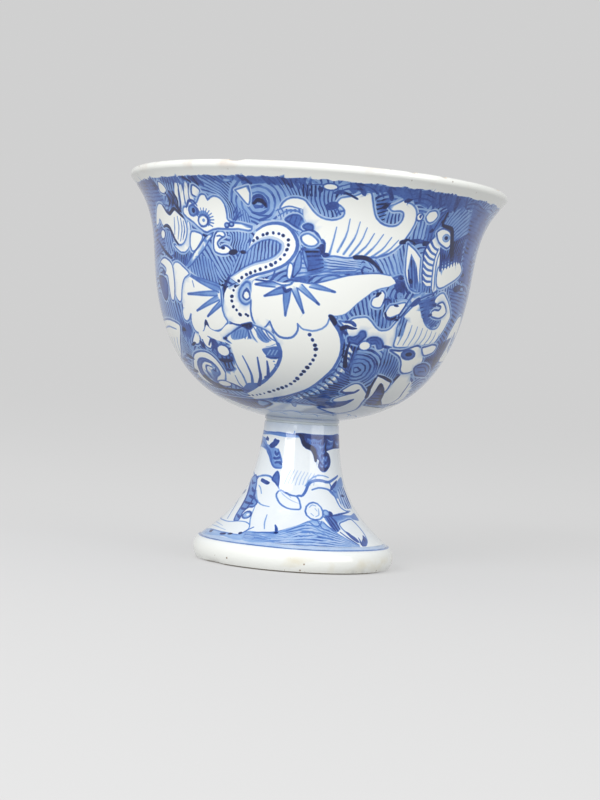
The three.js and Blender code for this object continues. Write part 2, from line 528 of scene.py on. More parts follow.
# %% The sea in the middle
def sea_in_the_middle():
    whorl((-18.6, 55.4), 6.6, -60, 178, MID, PALE, 1.15)
    lines([[(-21, 55.4), (-20, 56.6), (-18, 56.9), (-16.4, 56), (-16, 54.6)]], 0.7, DEEP)
    lines([[(-20.4, 55.2), (-19, 56), (-17.3, 55.7), (-16.3, 54.8)]], 0.95, INK)
    lines([[(-21, 53.4), (-18, 52.9), (-15, 53)], [(-22, 52.6), (-18.4, 52), (-14.6, 52.2)]], 0.4)
    hatch([[(-12.5, 61), (-3, 60)], [(-9, 57), (-2, 55.6)]], 0.92, DEEP, SOFT)
    hatch([[(-2.4, 59.6), (7, 59.6)], [(-2, 56), (7, 56)], [(0, 53.4), (9.4, 53.4)]], 0.88, DEEP, SOFT)
    lines([[(turned, 59.6), (turned + 0.3, 57.4)] for turned in (-4.6, -3.4, -2.2, -1, 0.2)], 0.62, INK)
    hatch([[(18, 57.6), (19.4, 54.4), (22, 53)], [(22, 58), (23, 55.6), (24, 54.2)]], 0.85, INK, MID)
    hatch([[(21.6, 53), (25, 53), (28, 54.4)], [(22.4, 56), (25, 55.8), (27.6, 56)]], 0.88, DEEP, SOFT)
    hatch([
        [(-7, 48), (-6.6, 41)], [(0, 47), (2, 42)], [(8, 46), (9, 42.4)], [(16, 45.4), (16, 43)],
    ], 1.05, MID, PALE)
    hatch([[(-3.6, 48), (-2.8, 44.6), (-1.4, 41.8)], [(2, 48), (3, 46.2), (3.6, 43)]], 0.92, INK, MID)
    leaves = [
        [(-6.8, 41), (0, 42), (7.6, 43.4), (13, 43.9), (17, 43.6)], [(-1.4, 41.3), (8, 42.6), (18, 43.3)],
    ]
    lines(leaves, 0.34, MID)
    area([(-6, 41), (0, 41.6), (0, 40.8), (-6, 40.4)], MID)
    hatch([[(15, 46.2), (22, 46.2), (31, 49.8)], [(20, 44), (26, 43.2), (34, 44)]], 1.1, MID, PALE)
    hatch([[(27.6, 48.8), (31.6, 49.8)], [(31, 44), (34, 44.6)]], 0.98)
    for step in range(6):
        turned = 28.4 + 1.3 * step
        line([(turned, 42.4 - 0.2 * step), (turned + 1.6, 41), (turned + 2.6, 40)], 0.85, DEEP, (1, 1, 0.4))

# %% [markdown]
# On the right the lines follow the bird and run round a whirlpool. Towards the right edge the ground is
# filled with thicker, darker wash. That darkening is partly painted shade, for that side of the cup lay in
# shadow.

# %% The sea behind the bird
def sea_behind_bird():
    hatch([[(32, 54.6), (38.6, 54.6)], [(32, 50), (38.6, 50.4)]], 0.92)
    hatch([[(38, 57), (46, 57)], [(39, 50), (45, 50)]], 0.98, DEEP, MID)
    hatch([[(45.8, 55), (53, 50.6)], [(48, 59.6), (66, 56)]], 1.2, MID, SOFT)
    # Painted shade: this dark wash at the right edge, and the one below it, darken the side that lay in
    # shadow.
    hatch([[(56, 60), (62, 52), (62, 44)], [(72, 59), (79, 54), (73, 49), (78, 43)]], 1.15, DEEP, MID)
    hatch([[(46, 44), (52, 46), (60, 46)], [(46, 39), (54, 38.5), (62, 40)]], 1)
    hatch([[(56, 42), (61, 38), (59, 30)], [(74, 42), (79, 37), (72, 27)]], 1.1, DEEP, MID)
    hatch([
        [(9.3, 34.3), (14, 35.5), (19, 38.8), (25, 39.8)], [(11, 32.6), (17, 33.6), (24, 33), (28, 31.6)],
    ], 1)
    hatch([[(23.5, 39.4), (31, 38.4)], [(24, 35), (33, 35)], [(24, 31.6), (34, 32)]], 0.88, DEEP, SOFT)
    hatch([[(20, 29), (30, 29), (36, 27.8), (42, 26.8)], [(17, 20), (30, 20), (38, 21.4), (44, 23)]], 1)
    whorl((22.4, 22.6), 9.8, -60, 62)
    whorl((22.4, 22.6), 7.2, -100, 150, DEEP, PALE, 1.02)
    whorl((22, 22.7), 4.1, 0, 360, DEEP, SOFT, 0.92)
    hatch([[(13.6, 29), (20, 28.6)], [(14.6, 21), (19, 24)], [(12, 18), (20, 20)]], 0.92, INK, MID)
    hatch([[(31, 28.6), (38, 27.2), (43, 25.6)], [(32, 22), (38, 21.4), (43.6, 20.6)]], 0.85, DEEP, SOFT)
    hatch([
        [(-22, 11.4), (-4, 14), (9, 19), (15, 25)], [(10, 10.6), (20, 12.6), (22, 17), (19, 22)],
    ], 0.92, INK, MID)
    hatch([[(-26, 12.4), (-4, 14.4)], [(-20, 11), (10, 11)]], 0.85, DEEP, SOFT)
    hatch([[(46, 20), (52, 23)], [(57, 13), (62, 16)]], 1.1, tone=SOFT, wash=0)

# %% [markdown]
# Under the lip the painter went round with a full brush. The band is broken over the waves. It is built
# from slanting strokes of uneven length over a thinner wash, because its upper edge is hairy, where single
# bristles ran ahead of the rest.

# %% The band of wash under the lip
LIP_LINE = 61.2
WHITE_TOP = 63.2
BORDER = [(-96, -62, DEEP, 3.2), (-57, -47, MID, 1.9), (-46.4, -43.6, INK, 1.4), (-42.4, -38.4, INK, 2.6)]
BORDER += [
    (-38, -22, MID, 1.2), (-24, -4, DEEP, 2), (-7, 0, SOFT, 1.3), (9, 30, DEEP, 2.9), (28, 52, DEEP, 4),
]
BORDER += [(50, 63, MID, 3.2), (66, 84, SOFT, 2.2)]


def lip_band():
    around = np.arange(-180, 180.1, 1.6)
    edge = [(turned, LIP_LINE - 0.2 + dice.uniform(-0.2, 0.25)) for turned in around]
    add_mark(edge + [(180, WHITE_TOP), (-180, WHITE_TOP)], 0, cover=True)
    for half_turn in (180, 0):
        wall.turned_by = half_turn
        for start, end, tone, depth in BORDER:
            top = [(turned, LIP_LINE - dice.uniform(0.1, 0.45)) for turned in np.arange(start, end, 1.8)]
            low = [
                (turned, LIP_LINE - depth * dice.uniform(0.55, 1))
                for turned in np.arange(end, start, -1.4)
            ]
            add_mark(top + low, tone * 0.8)
            for turned in np.arange(start, end, 1.5):
                high = LIP_LINE + dice.uniform(-0.9, -0.1)
                foot = high - depth * dice.uniform(0.3, 0.85)
                lean = dice.uniform(0.4, 2.6)
                width = dice.uniform(0.5, 1.3)
                line([(turned, high), (turned + lean, foot)], width, min(1, tone * dice.uniform(0.75, 1.1)))

# %% [markdown]
# The winged dragon fills the left half of the front. It is built up as the painter would: long neck and
# body first, then the head with its jaw and whisker, then the two wings, whose edges are scallops and whose
# ribs are spikes of thin blue.

# %% The dragon's head
def dragon_head():
    figure([
        (-26.2, 57.9), (-26.2, 57.9), (-21.5, 58.9), (-21.5, 58.9), (-21.3, 57), (-22.2, 55),
    ], 0.35, MID)
    oval((-28.2, 60.1), 1.3, 0.5, 12, inside=PALE, width=0.3, tone=MID)
    strands = [
        [(-51.5, 55), (-51, 57.4), (-49, 59.6)], [(-49.4, 53.6), (-48.6, 56), (-47.6, 59.4)],
        [(-46.6, 55.6), (-46, 57.4), (-44.6, 59.4)], [(-44, 55.6), (-43.8, 57.4), (-42.4, 59)],
    ]
    for strand in strands:
        over(strand, [1.0, 1.5, 0.8], 0)
        line([(turned + 1.3, up) for turned, up in strand], 0.4, DEEP)
        line([(turned - 1.1, up) for turned, up in strand], 0.3, MID)
    figure([(-43.4, 57), (-42, 59), (-39.6, 57.8), (-41, 56.4)], 0.42, DEEP)
    figure([(-60.6, 58), (-59, 60.2), (-57, 59.6), (-56, 58.2), (-58, 57.4)], 0.3, DEEP)
    tufts = [
        [(-57.4, 57.6), (-56, 56), (-57.4, 54.8)], [(-55, 58), (-53.6, 56.4), (-55, 55)],
        [(-54, 55.6), (-52, 54), (-50.4, 53.4)],
    ]
    lines(tufts + [[(-52.6, 57.6), (-51.6, 56), (-52, 54.4)]], 0.6, INK)
    skull = [
        (-42, 55.4), (-40.8, 56.4), (-39.5, 57), (-38, 56.9), (-37.2, 55.8), (-37.2, 55.8), (-36, 56.3),
        (-34.3, 56.6), (-32.3, 56.2), (-30.8, 55), (-30.2, 53.4), (-30.1, 52), (-28.6, 51.4), (-25, 51.2),
        (-21, 50.7), (-21, 50.7), (-21.6, 49.9), (-26, 50.1), (-30, 50), (-34, 50.1), (-36.5, 49.8),
        (-39, 49.3), (-41, 49.8), (-43, 50.5), (-44.8, 51.3), (-46.5, 51.8), (-48.2, 52.4), (-49.6, 53.3),
        (-49, 54.4), (-47, 54.6), (-45.5, 55.6), (-43.6, 55),
    ]
    figure(skull, 0.42, MID)
    line([(-47.4, 54.4), (-46, 55.6), (-43.8, 55.7), (-42.2, 54.6)], 0.55, DEEP)
    oval((-44.6, 53.7), 1.2, 1.1, inside=SOFT, width=0.5)
    oval((-44.2, 53.7), 0.5, 0.55, inside=INK, width=0)
    line([(-43, 54.4), (-42, 53.6), (-42.6, 52.8)], 0.55, DEEP)
    area([
        (-43, 52.6), (-41.4, 53.5), (-39.2, 53.6), (-37.4, 52.7), (-37, 51.2), (-38, 50.5), (-40, 52.8),
    ], SOFT)
    for step in range(12):
        lash = math.radians(-30 + 16 * step)
        out, rise = math.cos(lash), math.sin(lash)
        line([(-40.2 + 2.3 * out, 51.7 + 1.3 * rise), (-40.2 + 4.7 * out, 51.7 + 2.5 * rise)], 0.34, MID)
    oval((-40.2, 51.6), 1.35, 1.15, width=0.5)
    oval((-40, 51.7), 0.4, 0.35, inside=SOFT, width=0)
    for spot in ((-30.4, 50.8), (-28.7, 51)):
        oval(spot, 0.5, 0.42, inside=PALE, width=0.4)
    tuft = [
        [(-28, 51.8), (-26.8, 52.6), (-26.2, 53.9)], [(-27.2, 51.7), (-25.4, 53.4)],
        [(-26.4, 52.2), (-24.6, 52.9)],
    ]
    lines(tuft + [[(-27.6, 53.2), (-26.4, 54.4)]], 0.55, DEEP)

# %% [markdown]
# The jaw is open. Its ribs are a few lines that follow one another round, and the beard is dark scribble.

# %% The dragon's jaw, whisker and curl
def dragon_jaw():
    jaw = [
        (-72, 51.3), (-70.5, 53.2), (-68, 54.8), (-65, 55.6), (-62.5, 55.3), (-61.3, 54.4), (-59.8, 53.5),
        (-58, 53.3), (-56, 53.9), (-54.5, 54.2), (-52.5, 53.4), (-50.5, 52.8), (-49, 51.6), (-48.4, 50),
        (-49, 48.4), (-50.5, 47.2), (-52.5, 46.8), (-54.5, 47.1), (-56.2, 48.1), (-57.7, 49.4),
        (-59.8, 50.6), (-62, 50.9), (-64, 50.6), (-65.5, 51.2), (-66.3, 52), (-67.5, 52.3), (-68.5, 51.6),
        (-70, 51.2),
    ]
    lip = [
        (-57, 47), (-54.8, 46), (-52, 45.3), (-49.5, 45.4), (-47.6, 46.3), (-46.4, 48.2), (-46.4, 50),
        (-47.4, 51.8), (-50, 49), (-53, 46.8),
    ]
    figure(lip, 0.35, MID)
    figure(jaw, 0.38, MID)
    lines([
        [(-62, 55), (-60, 53.7), (-58, 53.3), (-56, 53.9), (-54.4, 54.2), (-52.4, 53.4), (-50, 52.4)],
    ], 0.85, INK)
    ribs = [
        [(-55.4, 52.4), (-55.7, 50.6), (-56, 49)], [(-53.4, 52.6), (-53, 50.4), (-54, 48)],
        [(-51.6, 52.2), (-51.2, 50.2), (-52.4, 47.6)], [(-50.2, 51.6), (-49.8, 49.8), (-51, 47.8)],
    ]
    lines(ribs, 0.42, MID)
    line([(-64, 50.7), (-61.6, 50.9), (-59.4, 50.4), (-57.4, 49), (-56, 47.9), (-54, 47)], 0.75, INK)
    oval((-65.4, 49.2), 1.2, 1.0, tone=DEEP)
    cheek = [
        (-46.2, 49.4), (-43.5, 49.4), (-41.2, 48.9), (-40.8, 48.2), (-42.3, 46.9), (-44.5, 45.6),
        (-46, 45.6), (-47, 46.8),
    ]
    figure(cheek, 0.38, MID)
    whisker = [(-37, 48.8), (-38.8, 48), (-41, 46.4), (-44, 44.9), (-47, 43.3), (-49.5, 42.2)]
    over(whisker, [1.1, 1.7, 1.7, 0.9], DEEP)
    over(whisker, [0.5, 1.05, 1.05, 0.3], 0)
    oval((-39.6, 48.9), 0.7, 0.5, inside=INK, width=0)
    lines([
        [(-71, 48), (-67, 46.6), (-62, 45), (-58.6, 44.2)], [(-56.6, 44.6), (-56.2, 42.6), (-55.6, 41)],
    ], 0.8, INK)
    lines([[(-53, 42.4), (-52.2, 40.6)], [(-58.6, 44), (-56, 45.4)]], 0.6, DEEP)
    lobes = [
        (-57.5, 43), (-55, 43.4), (-50, 42), (-48, 41), (-51, 40), (-53, 38), (-54.3, 35.6), (-55.5, 35.2),
        (-57.5, 36), (-58.5, 38.5),
    ]
    figure(lobes, 0.35, MID)
    paw = [
        (-70, 43.5), (-66, 44.4), (-62, 44), (-59, 43), (-58, 41.5), (-58, 38), (-60, 35.5), (-62, 35.8),
        (-62.5, 38), (-63, 40.5), (-65, 41), (-64, 42), (-66.5, 42.8),
    ]
    figure(paw, 0.38, DEEP)
    oval((-66.6, 41.2), 1.1, 0.7, inside=INK, width=0)
    figure([
        (-73, 40.5), (-71.5, 37.6), (-69.5, 36), (-67, 35.6), (-64.6, 36.6), (-63.6, 38.4), (-65, 40),
    ], 0.4, INK, DEEP)
    curl = [
        (-34.6, 49.4), (-32, 49.5), (-31.2, 48.7), (-33, 48.1), (-34.3, 47.2), (-33.3, 46.3), (-31.5, 46.8),
        (-30, 46.6), (-28.8, 45.8), (-29.8, 45.2), (-32.5, 45), (-35.4, 45.6), (-36, 47.4),
    ]
    figure(curl, 0.38, DEEP)
    line([(-34.6, 48.6), (-33.4, 48.7), (-32.4, 48.5)], 0.4, DEEP)
    oval((-32, 46.3), 0.5, 0.35, inside=INK, width=0)
    oval((-28, 45.5), 1.1, 0.6, 10, inside=INK, width=0)
    oval((-24.2, 45.6), 0.7, 0.4, inside=INK, width=0)

# %% [markdown]
# The neck doubles back like a hook and carries a spine of dark dabs. Its two edges are the only lines here
# that need their exact run, so they are named, and the outline, the halo and the second line all come from
# them.

# %% The dragon's neck and crescent body
NECK_OUTSIDE = [
    (-19.5, 50), (-17, 51), (-14.2, 51.5), (-11.2, 51.5), (-8.8, 50.9), (-7, 49.7), (-5.7, 48.1),
    (-5.8, 46.5), (-7.2, 44.9), (-9.6, 43.5), (-12.6, 42.6), (-16, 41.8), (-19.8, 41.2), (-22.8, 40.3),
    (-24.5, 39),
]
NECK_INSIDE = [
    (-29.5, 40.5), (-27.7, 41.2), (-24.2, 42.5), (-19.9, 43.7), (-16.1, 44.3), (-13.3, 45.1), (-11.5, 46.3),
    (-11.2, 47.4), (-12.7, 48), (-15.2, 48.3), (-18.3, 47.8), (-21, 46.8), (-23.3, 45.3),
]


def dragon_body():
    left = [
        (-31.4, 38.5), (-32.5, 37.5), (-32.9, 36.1), (-33.1, 34.1), (-32.5, 32.6), (-31.4, 31.6),
        (-29.1, 31), (-26, 30.3),
    ]
    back = [
        (8, 33.6), (9.8, 32.3), (11.5, 31), (12.7, 29.4), (13.3, 27.7), (13.3, 26), (12.6, 24.2),
        (11.3, 22.4), (8.9, 20.6), (5.7, 18.5), (1.5, 16.5), (-3.9, 15), (-10.9, 13.5), (-16.7, 12.7),
        (-23.5, 11.9), (-31, 11.4),
    ]
    breast = [(-34, 14), (-28, 15.5), (-20, 20), (-12, 26), (-14, 31), (-20, 34)]
    add_mark(NECK_OUTSIDE, WASH / 2, np.full(len(NECK_OUTSIDE), 1.6), cover=True)
    add_mark(NECK_OUTSIDE + left + breast + [(-21, 38)], 0, cover=True, edged=False)
    hatch([[(-25, 46.6), (-14, 49.6), (-9, 48)], [(-29, 41), (-14, 44), (-9.6, 47)]], 0.92)
    bend_edge = [(turned + 0.2, up + 0.1) for turned, up in NECK_INSIDE]
    neck = NECK_OUTSIDE[:12] + [(-24.5, 39), (-29.5, 40.5)] + bend_edge
    add_mark(neck, 0, cover=True)
    line(NECK_INSIDE[1:], 1.5, PALE * 0.7, (0.6, 1, 1, 0.6))
    add_mark(brush_path(back + breast), 0, cover=True)
    outer = [(turned + 1.7, up - 0.5) for turned, up in back]
    line(outer, 1.3, PALE, (0.7, 1, 1, 1, 1))
    line(back, 0.6, MID, (1.7, 1, 0.9, 1, 0.8))
    line(NECK_OUTSIDE, 0.7, MID, (0.6, 1, 1, 0.7, 0.8))
    line([(turned + 1.9, up - 0.5) for turned, up in NECK_OUTSIDE[3:12]], 0.32, MID)
    line(NECK_INSIDE, 0.42, MID)
    line([(-29.5, 40.5), (-30.7, 39.5)] + left, 0.7, DEEP, (0.8, 1.5, 1, 0.9, 0.8))
    line(left[:3], 0.95, INK)
    spine = [
        (-21.4, 47.6), (-16.7, 49.3), (-12.2, 49.6), (-8.7, 48.4), (-8.8, 47), (-9.8, 45.4), (-12.5, 43.9),
        (-17.8, 42.4), (-24.1, 40.8), (-27.3, 38.7), (-28.8, 36.5), (-28.4, 34.7), (-26.6, 33.8),
        (-25.2, 32.6),
    ]
    dotted(spine, 1.1, 0.66)
    dotted([(-23.9, 33.4), (-22.2, 32.8)], 0.9, 0.6)
    low_spine = [(0, 30.3), (3.1, 27.3), (3.2, 25.1), (-0.6, 21.6), (-6, 18.1), (-13.2, 16), (-20.5, 14.5)]
    dotted(low_spine, 1.15, 0.8)
    dotted([(-21.5, 14.3), (-28, 13.3), (-35.5, 12.8)], 1.1, 0.5)
    ring = [
        (-21.7, 39.6), (-23, 39.8), (-24.7, 38.8), (-25.7, 37.8), (-25.7, 36.4), (-24.8, 35.6),
        (-23.3, 35.3), (-21.8, 35.7), (-21, 36.4), (-21.3, 37.8),
    ]
    figure(ring, 0.5, MID, inside=PALE)
    arch = [(-24.3, 36.8), (-23.6, 38), (-22.8, 38.4), (-22.1, 38), (-21.6, 36.8), (-22.9, 36.2)]
    figure(arch, 0.4, DEEP)
    line([(-23.4, 38), (-22.8, 38.3), (-22.3, 37.9)], 0.7, DEEP)

# %% [markdown]
# A spike of thin blue is a leaf, darker at its rim and at its tip. A wing is a fan of them over white
# scallops. One function draws a spike from its root and its tip, so a wing is a short list.

# %% Wings
def spike(root, tip, wide):
    """A pointed leaf of thin blue with a darker rim. wide is its width at the root, in millimetres."""
    root, tip = np.array(root, float), np.array(tip, float)
    scale = np.array([float(wall.degree(root[1])), 1.0])
    way = (tip - root) * scale
    side = np.array([-way[1], way[0]]) / np.hypot(*way) / scale
    left, right = root + side * wide / 2, root - side * wide / 2
    middle = root + (tip - root) * 0.45
    bulge = side * wide * 0.36
    area([left, left, middle + bulge, tip, tip, middle - bulge, right, right], SOFT, edged=False)
    line([left, middle + bulge, tip], 0.36, MID, (0.8, 1, 1.3))
    line([right, middle - bulge, tip], 0.36, MID, (0.8, 1, 1.3))
    line([tip + (root - tip) * 0.12, tip], 0.5, DEEP, (0.6, 1, 0.7))


def dragon_wings():
    left_wing = [
        (-50.5, 42), (-47, 40.9), (-42.5, 39.8), (-38, 39.2), (-33.6, 38.3), (-33.2, 36), (-33.1, 34.1),
        (-32.5, 32.6), (-31.4, 31.5), (-32.5, 30.7), (-34.4, 29.9), (-37.7, 29.4), (-40.3, 29.7),
        (-42.1, 31.2), (-42.1, 31.2), (-43, 30), (-44.4, 29.1), (-46.4, 28.7), (-48.8, 29), (-50, 29.9),
        (-50.4, 31.4), (-49.6, 32.8), (-49.6, 32.8), (-51.4, 31.6), (-53.2, 31.2), (-54.8, 31.7),
        (-55.1, 33), (-54.4, 34.2), (-54.3, 36.1), (-54.3, 36.1), (-53.5, 38.5), (-52.4, 40.6),
    ]
    figure(left_wing, 0.4, MID)
    line([(-54.4, 34.2), (-54.3, 36.3)], 0.7, INK)
    figure([(-41.8, 31.6), (-43, 30.2), (-41, 30)], 0.3, INK, INK, 0)
    spike((-34.9, 37.2), (-49.7, 36.9), 1.0)
    spike((-34.4, 36.4), (-45.7, 33.5), 1.0)
    spike((-33.5, 35.3), (-40.5, 32.4), 0.9)
    spike((-33.6, 38.2), (-47.5, 40.6), 1.7)
    line([(-46.5, 39.6), (-45.8, 38.3)], 0.35, MID)
    line([(-51.5, 40.4), (-51.5, 39.4)], 0.4, MID)
    for lobe in ([(-58.4, 40), (-58.3, 37.2), (-57, 35.7), (-54.5, 35.5)], [(-55.2, 40), (-55.5, 38.2)]):
        line(lobe, 0.4, MID)
    right_wing = [
        (-21.2, 36.2), (-21.5, 34.4), (-21.2, 32.8), (-20.3, 31.5), (-19, 30.7), (-17.1, 30.6),
        (-15.7, 31.1), (-14.4, 32.1), (-14.4, 32.1), (-13.6, 30.9), (-12.4, 29.8), (-10.7, 29),
        (-8.2, 28.8), (-6, 29.1), (-4.6, 29.9), (-3.9, 31), (-4.2, 32), (-4.2, 32), (-2.3, 31),
        (-0.4, 30.8), (1.3, 30.7), (3.5, 31), (5.2, 31.5), (6.6, 32.5), (7.1, 34), (7.1, 34), (9.3, 34.1),
        (12, 34.5), (13.9, 35.3), (15.6, 36.5), (17.5, 37.6), (19.4, 38.5), (21.2, 39.5), (23.9, 40.3),
        (27, 40.8), (29.5, 41.6), (26.8, 43.1), (22.3, 43.3), (17.8, 43), (12, 42.4), (5.8, 41.2),
        (-0.2, 40.2), (-4, 40.4), (-10, 40), (-16, 40.6), (-20, 40.2), (-21, 38.2),
    ]
    left_bare(right_wing)
    line(right_wing[:8], 0.45, MID)
    line(right_wing[8:17], 0.5, MID)
    line(right_wing[17:25], 0.42, SOFT)
    line(right_wing[25:36], 0.3, SOFT)
    line(right_wing[36:43], 0.34, MID)
    figure([(6.8, 34.2), (8.2, 34.1), (9.8, 32.7), (9.2, 32.2), (7.8, 33.1)], 0.3, INK, INK, 0)
    spike((-8.6, 38.9), (-16.2, 37.2), 1.5)
    spike((-8.3, 38.8), (-8.7, 33.5), 1.5)
    spike((-5.9, 39), (-2.3, 34.3), 1.1)
    spike((-4, 39.5), (2.9, 36.2), 1.1)
    spike((-0.6, 40), (8, 38.9), 1.0)
    spike((-12.5, 39.6), (-19.5, 39.4), 1.1)
    line([(-9.6, 39), (-8.6, 38.4), (-7.1, 38.9)], 0.8, DEEP)
    line([(-19.4, 40.3), (-14.5, 40.2), (-13.4, 41), (-12.8, 42.2)], 0.5, DEEP)
    line([(-13.5, 40.1), (-9.8, 39.5), (-7, 39.9), (-5.6, 41.2)], 0.45, MID)

# %% [markdown]
# Small things fill the gaps round the body: fins, two leaves, and a ribbed shell under the crescent.

# %% Fins, leaves and the shell below the dragon
def dragon_fins():
    hatch([[(-13.6, 54.4), (-4.4, 54.6)], [(-12, 52.4), (-4, 51.6)]], 0.85, MID, PALE)
    figure([
        (-10, 52.4), (-7.6, 53.4), (-5.2, 53.2), (-4, 51.9), (-4.2, 50.6), (-6.5, 51), (-8.3, 51.7),
    ], 0.42, DEEP, MID)
    lines([
        [(-12.4, 53), (-9.4, 54.1), (-6.4, 54.2), (-4.6, 53.6)], [(-13, 54), (-9, 55), (-5, 54.6)],
    ], 0.36, MID)
    lines([[(-8.6, 52), (-8, 53)], [(-7, 51.6), (-6.4, 53)], [(-5.6, 51.4), (-5, 52.6)]], 0.4, DEEP)
    figure([(-4.2, 51.2), (-3, 51.8), (-1.2, 51.6), (-1, 50.8), (-2.6, 50.6)], 0.4, DEEP, MID)
    lines([
        [(-4.4, 50.2), (-1.6, 50.6), (0.6, 50), (2, 48.8)],
        [(1.4, 48.6), (2.4, 48.9), (3.2, 48.2), (3.2, 46)],
    ], 0.42, DEEP)
    figure([
        (-4.6, 49.2), (-2.5, 49.9), (0, 49.2), (1.1, 48.4), (0, 47.6), (-2.2, 47.5), (-4.1, 48.2),
    ], 0.4, MID)
    figure([(-3.9, 47), (-2.6, 46), (-1.4, 42.6), (-3, 44.4)], 0.32, DEEP, SOFT, 0)
    figure([(-4.6, 46.4), (-4.2, 43), (-6.6, 41.2), (-6.2, 44)], 0.3, DEEP, SOFT, 0)
    figure([(-8, 44), (-6.8, 43.6), (-7.4, 40.8), (-8.4, 41)], 0.3, MID, 0, 0)
    gap = [
        (-47.5, 28.9), (-44, 29.3), (-42, 30.6), (-40, 29.7), (-36, 29.3), (-32, 30.9), (-28, 31),
        (-22.6, 30.8), (-22.4, 28), (-26, 26.4), (-31, 26.4), (-34, 27), (-38.5, 27.4), (-41, 28),
        (-44, 28.2), (-46.5, 27.4),
    ]
    left_bare(gap)
    leaf = [
        (-34.3, 27.9), (-34.3, 27.9), (-30.7, 29.1), (-27.6, 30.2), (-25.5, 30.7), (-22.8, 30.6),
        (-22.3, 28.3), (-23.4, 27.6), (-25.8, 26.9), (-28.8, 26.7), (-31.9, 27.1),
    ]
    figure(leaf, 0.4, DEEP)
    area([(-31, 28.6), (-27.6, 30), (-23.4, 30.4), (-23.4, 28.8), (-26.5, 28), (-30.5, 27.8)], SOFT)
    for step in range(6):
        turned = -29.8 + 1.25 * step
        line([(turned + 1.2, 29.6 + 0.1 * step), (turned, 28.2 - 0.03 * step)], 0.36, MID)
    line([(-34.4, 27.9), (-33.2, 28)], 0.8, INK)
    fan = [
        (-22.1, 30.1), (-21.2, 31.1), (-18.6, 30.7), (-16.8, 30.4), (-13.7, 29.3), (-11.5, 27.4),
        (-11.5, 27.4), (-15.6, 26.6), (-17.6, 26.8), (-19.7, 27.6), (-21.3, 28.7),
    ]
    figure(fan, 0.38, MID)
    area([(-19.6, 30.6), (-16.5, 29.6), (-14.8, 27.8), (-16.6, 27.5), (-19.4, 28.6)], SOFT)
    for step in range(4):
        start = (-21 + 1.6 * step, 30.9 - 0.25 * step)
        line([
            start, (start[0] + 1.7, start[1] - 1.5), (start[0] + 3.6, start[1] - 3 + 0.3 * step),
        ], 0.32, MID)
    figure([
        (-25.8, 31), (-23.6, 31.4), (-21.5, 31.6), (-21.3, 30.6), (-22.9, 30.1), (-24, 30.4),
    ], 0.3, DEEP, INK, 0)
    lines([
        [(-23.4, 30.6), (-22.8, 29), (-22.6, 28)], [(-24.4, 31), (-27, 30.9), (-29.6, 31.2)],
    ], 0.45, DEEP)
    shell = [
        (-11.5, 27.4), (-10.6, 26.1), (-10.6, 24.8), (-11.8, 22.9), (-13.7, 21.3), (-16.9, 19.4),
        (-20.7, 17.8), (-24.1, 16.8), (-28.4, 15.5), (-33.7, 14.3),
    ]
    outline = shell + [
        (-38.7, 16.3), (-43.5, 17.2), (-40, 19.7), (-33.5, 20.6), (-31.9, 24.5), (-31.9, 27.1), (-27, 26.8),
        (-22.5, 28.2), (-19.7, 27.6), (-15.6, 26.6),
    ]
    left_bare(outline, False)
    line(shell, 0.7, MID, (1, 1, 1, 1.2, 1.4))
    area([(-18.1, 26), (-15.8, 26.4), (-11.6, 26.8), (-11.2, 24.4), (-12, 24.4), (-15.8, 24.3)], MID)
    line([(-16.6, 24.4), (-14, 24.1), (-11.4, 24.3)], 0.5, DEEP)
    for step in range(3):
        over([(-16 + 1.5 * step, 24.9), (-14.6 + 1.4 * step, 26)], [0.3, 0.3], PALE)
    ribs = [
        ([(-31.9, 24.5), (-31.6, 21.7), (-30.5, 19.4), (-30.5, 16.2)], 0.42, MID),
        ([(-27.4, 24.2), (-26.1, 21.9), (-25.6, 19.3), (-27.3, 16.4)], 0.5, MID),
        ([(-20.6, 24.1), (-20.7, 21.9), (-21.1, 19.2), (-23.6, 16.7)], 0.6, DEEP),
        ([(-16.6, 23.4), (-16.6, 21.6), (-17.1, 19.7)], 0.55, DEEP),
        ([(-35, 19.1), (-35.1, 16.6), (-33.4, 15)], 0.35, MID),
        ([(-43.5, 17.2), (-38.7, 16.3), (-36, 15.5), (-33, 14.6)], 0.5, DEEP),
        ([(-40, 19.7), (-41.4, 18.6), (-43.2, 17.5)], 0.4, MID),
    ]
    for rib, width, tone in ribs:
        line(rib, width, tone, (0.5, 0.9, 1.1, 1.3))
    oval((-17.7, 19.3), 0.8, 0.4, 20, inside=DEEP, width=0)
    area([(-36, 14.4), (-30, 17), (-26, 17.3), (-22.5, 17.2), (-28, 15.2)], MID)
    for speck in ((-13.2, 22.6), (-13.6, 23.4), (-12.6, 21.9)):
        oval(speck, 0.2, 0.2, inside=SOFT, width=0)

# %% [markdown]
# Round the dragon the sea rears up in white crests. Each crest curls over at its tip and has long thin
# lines of foam running down its back.

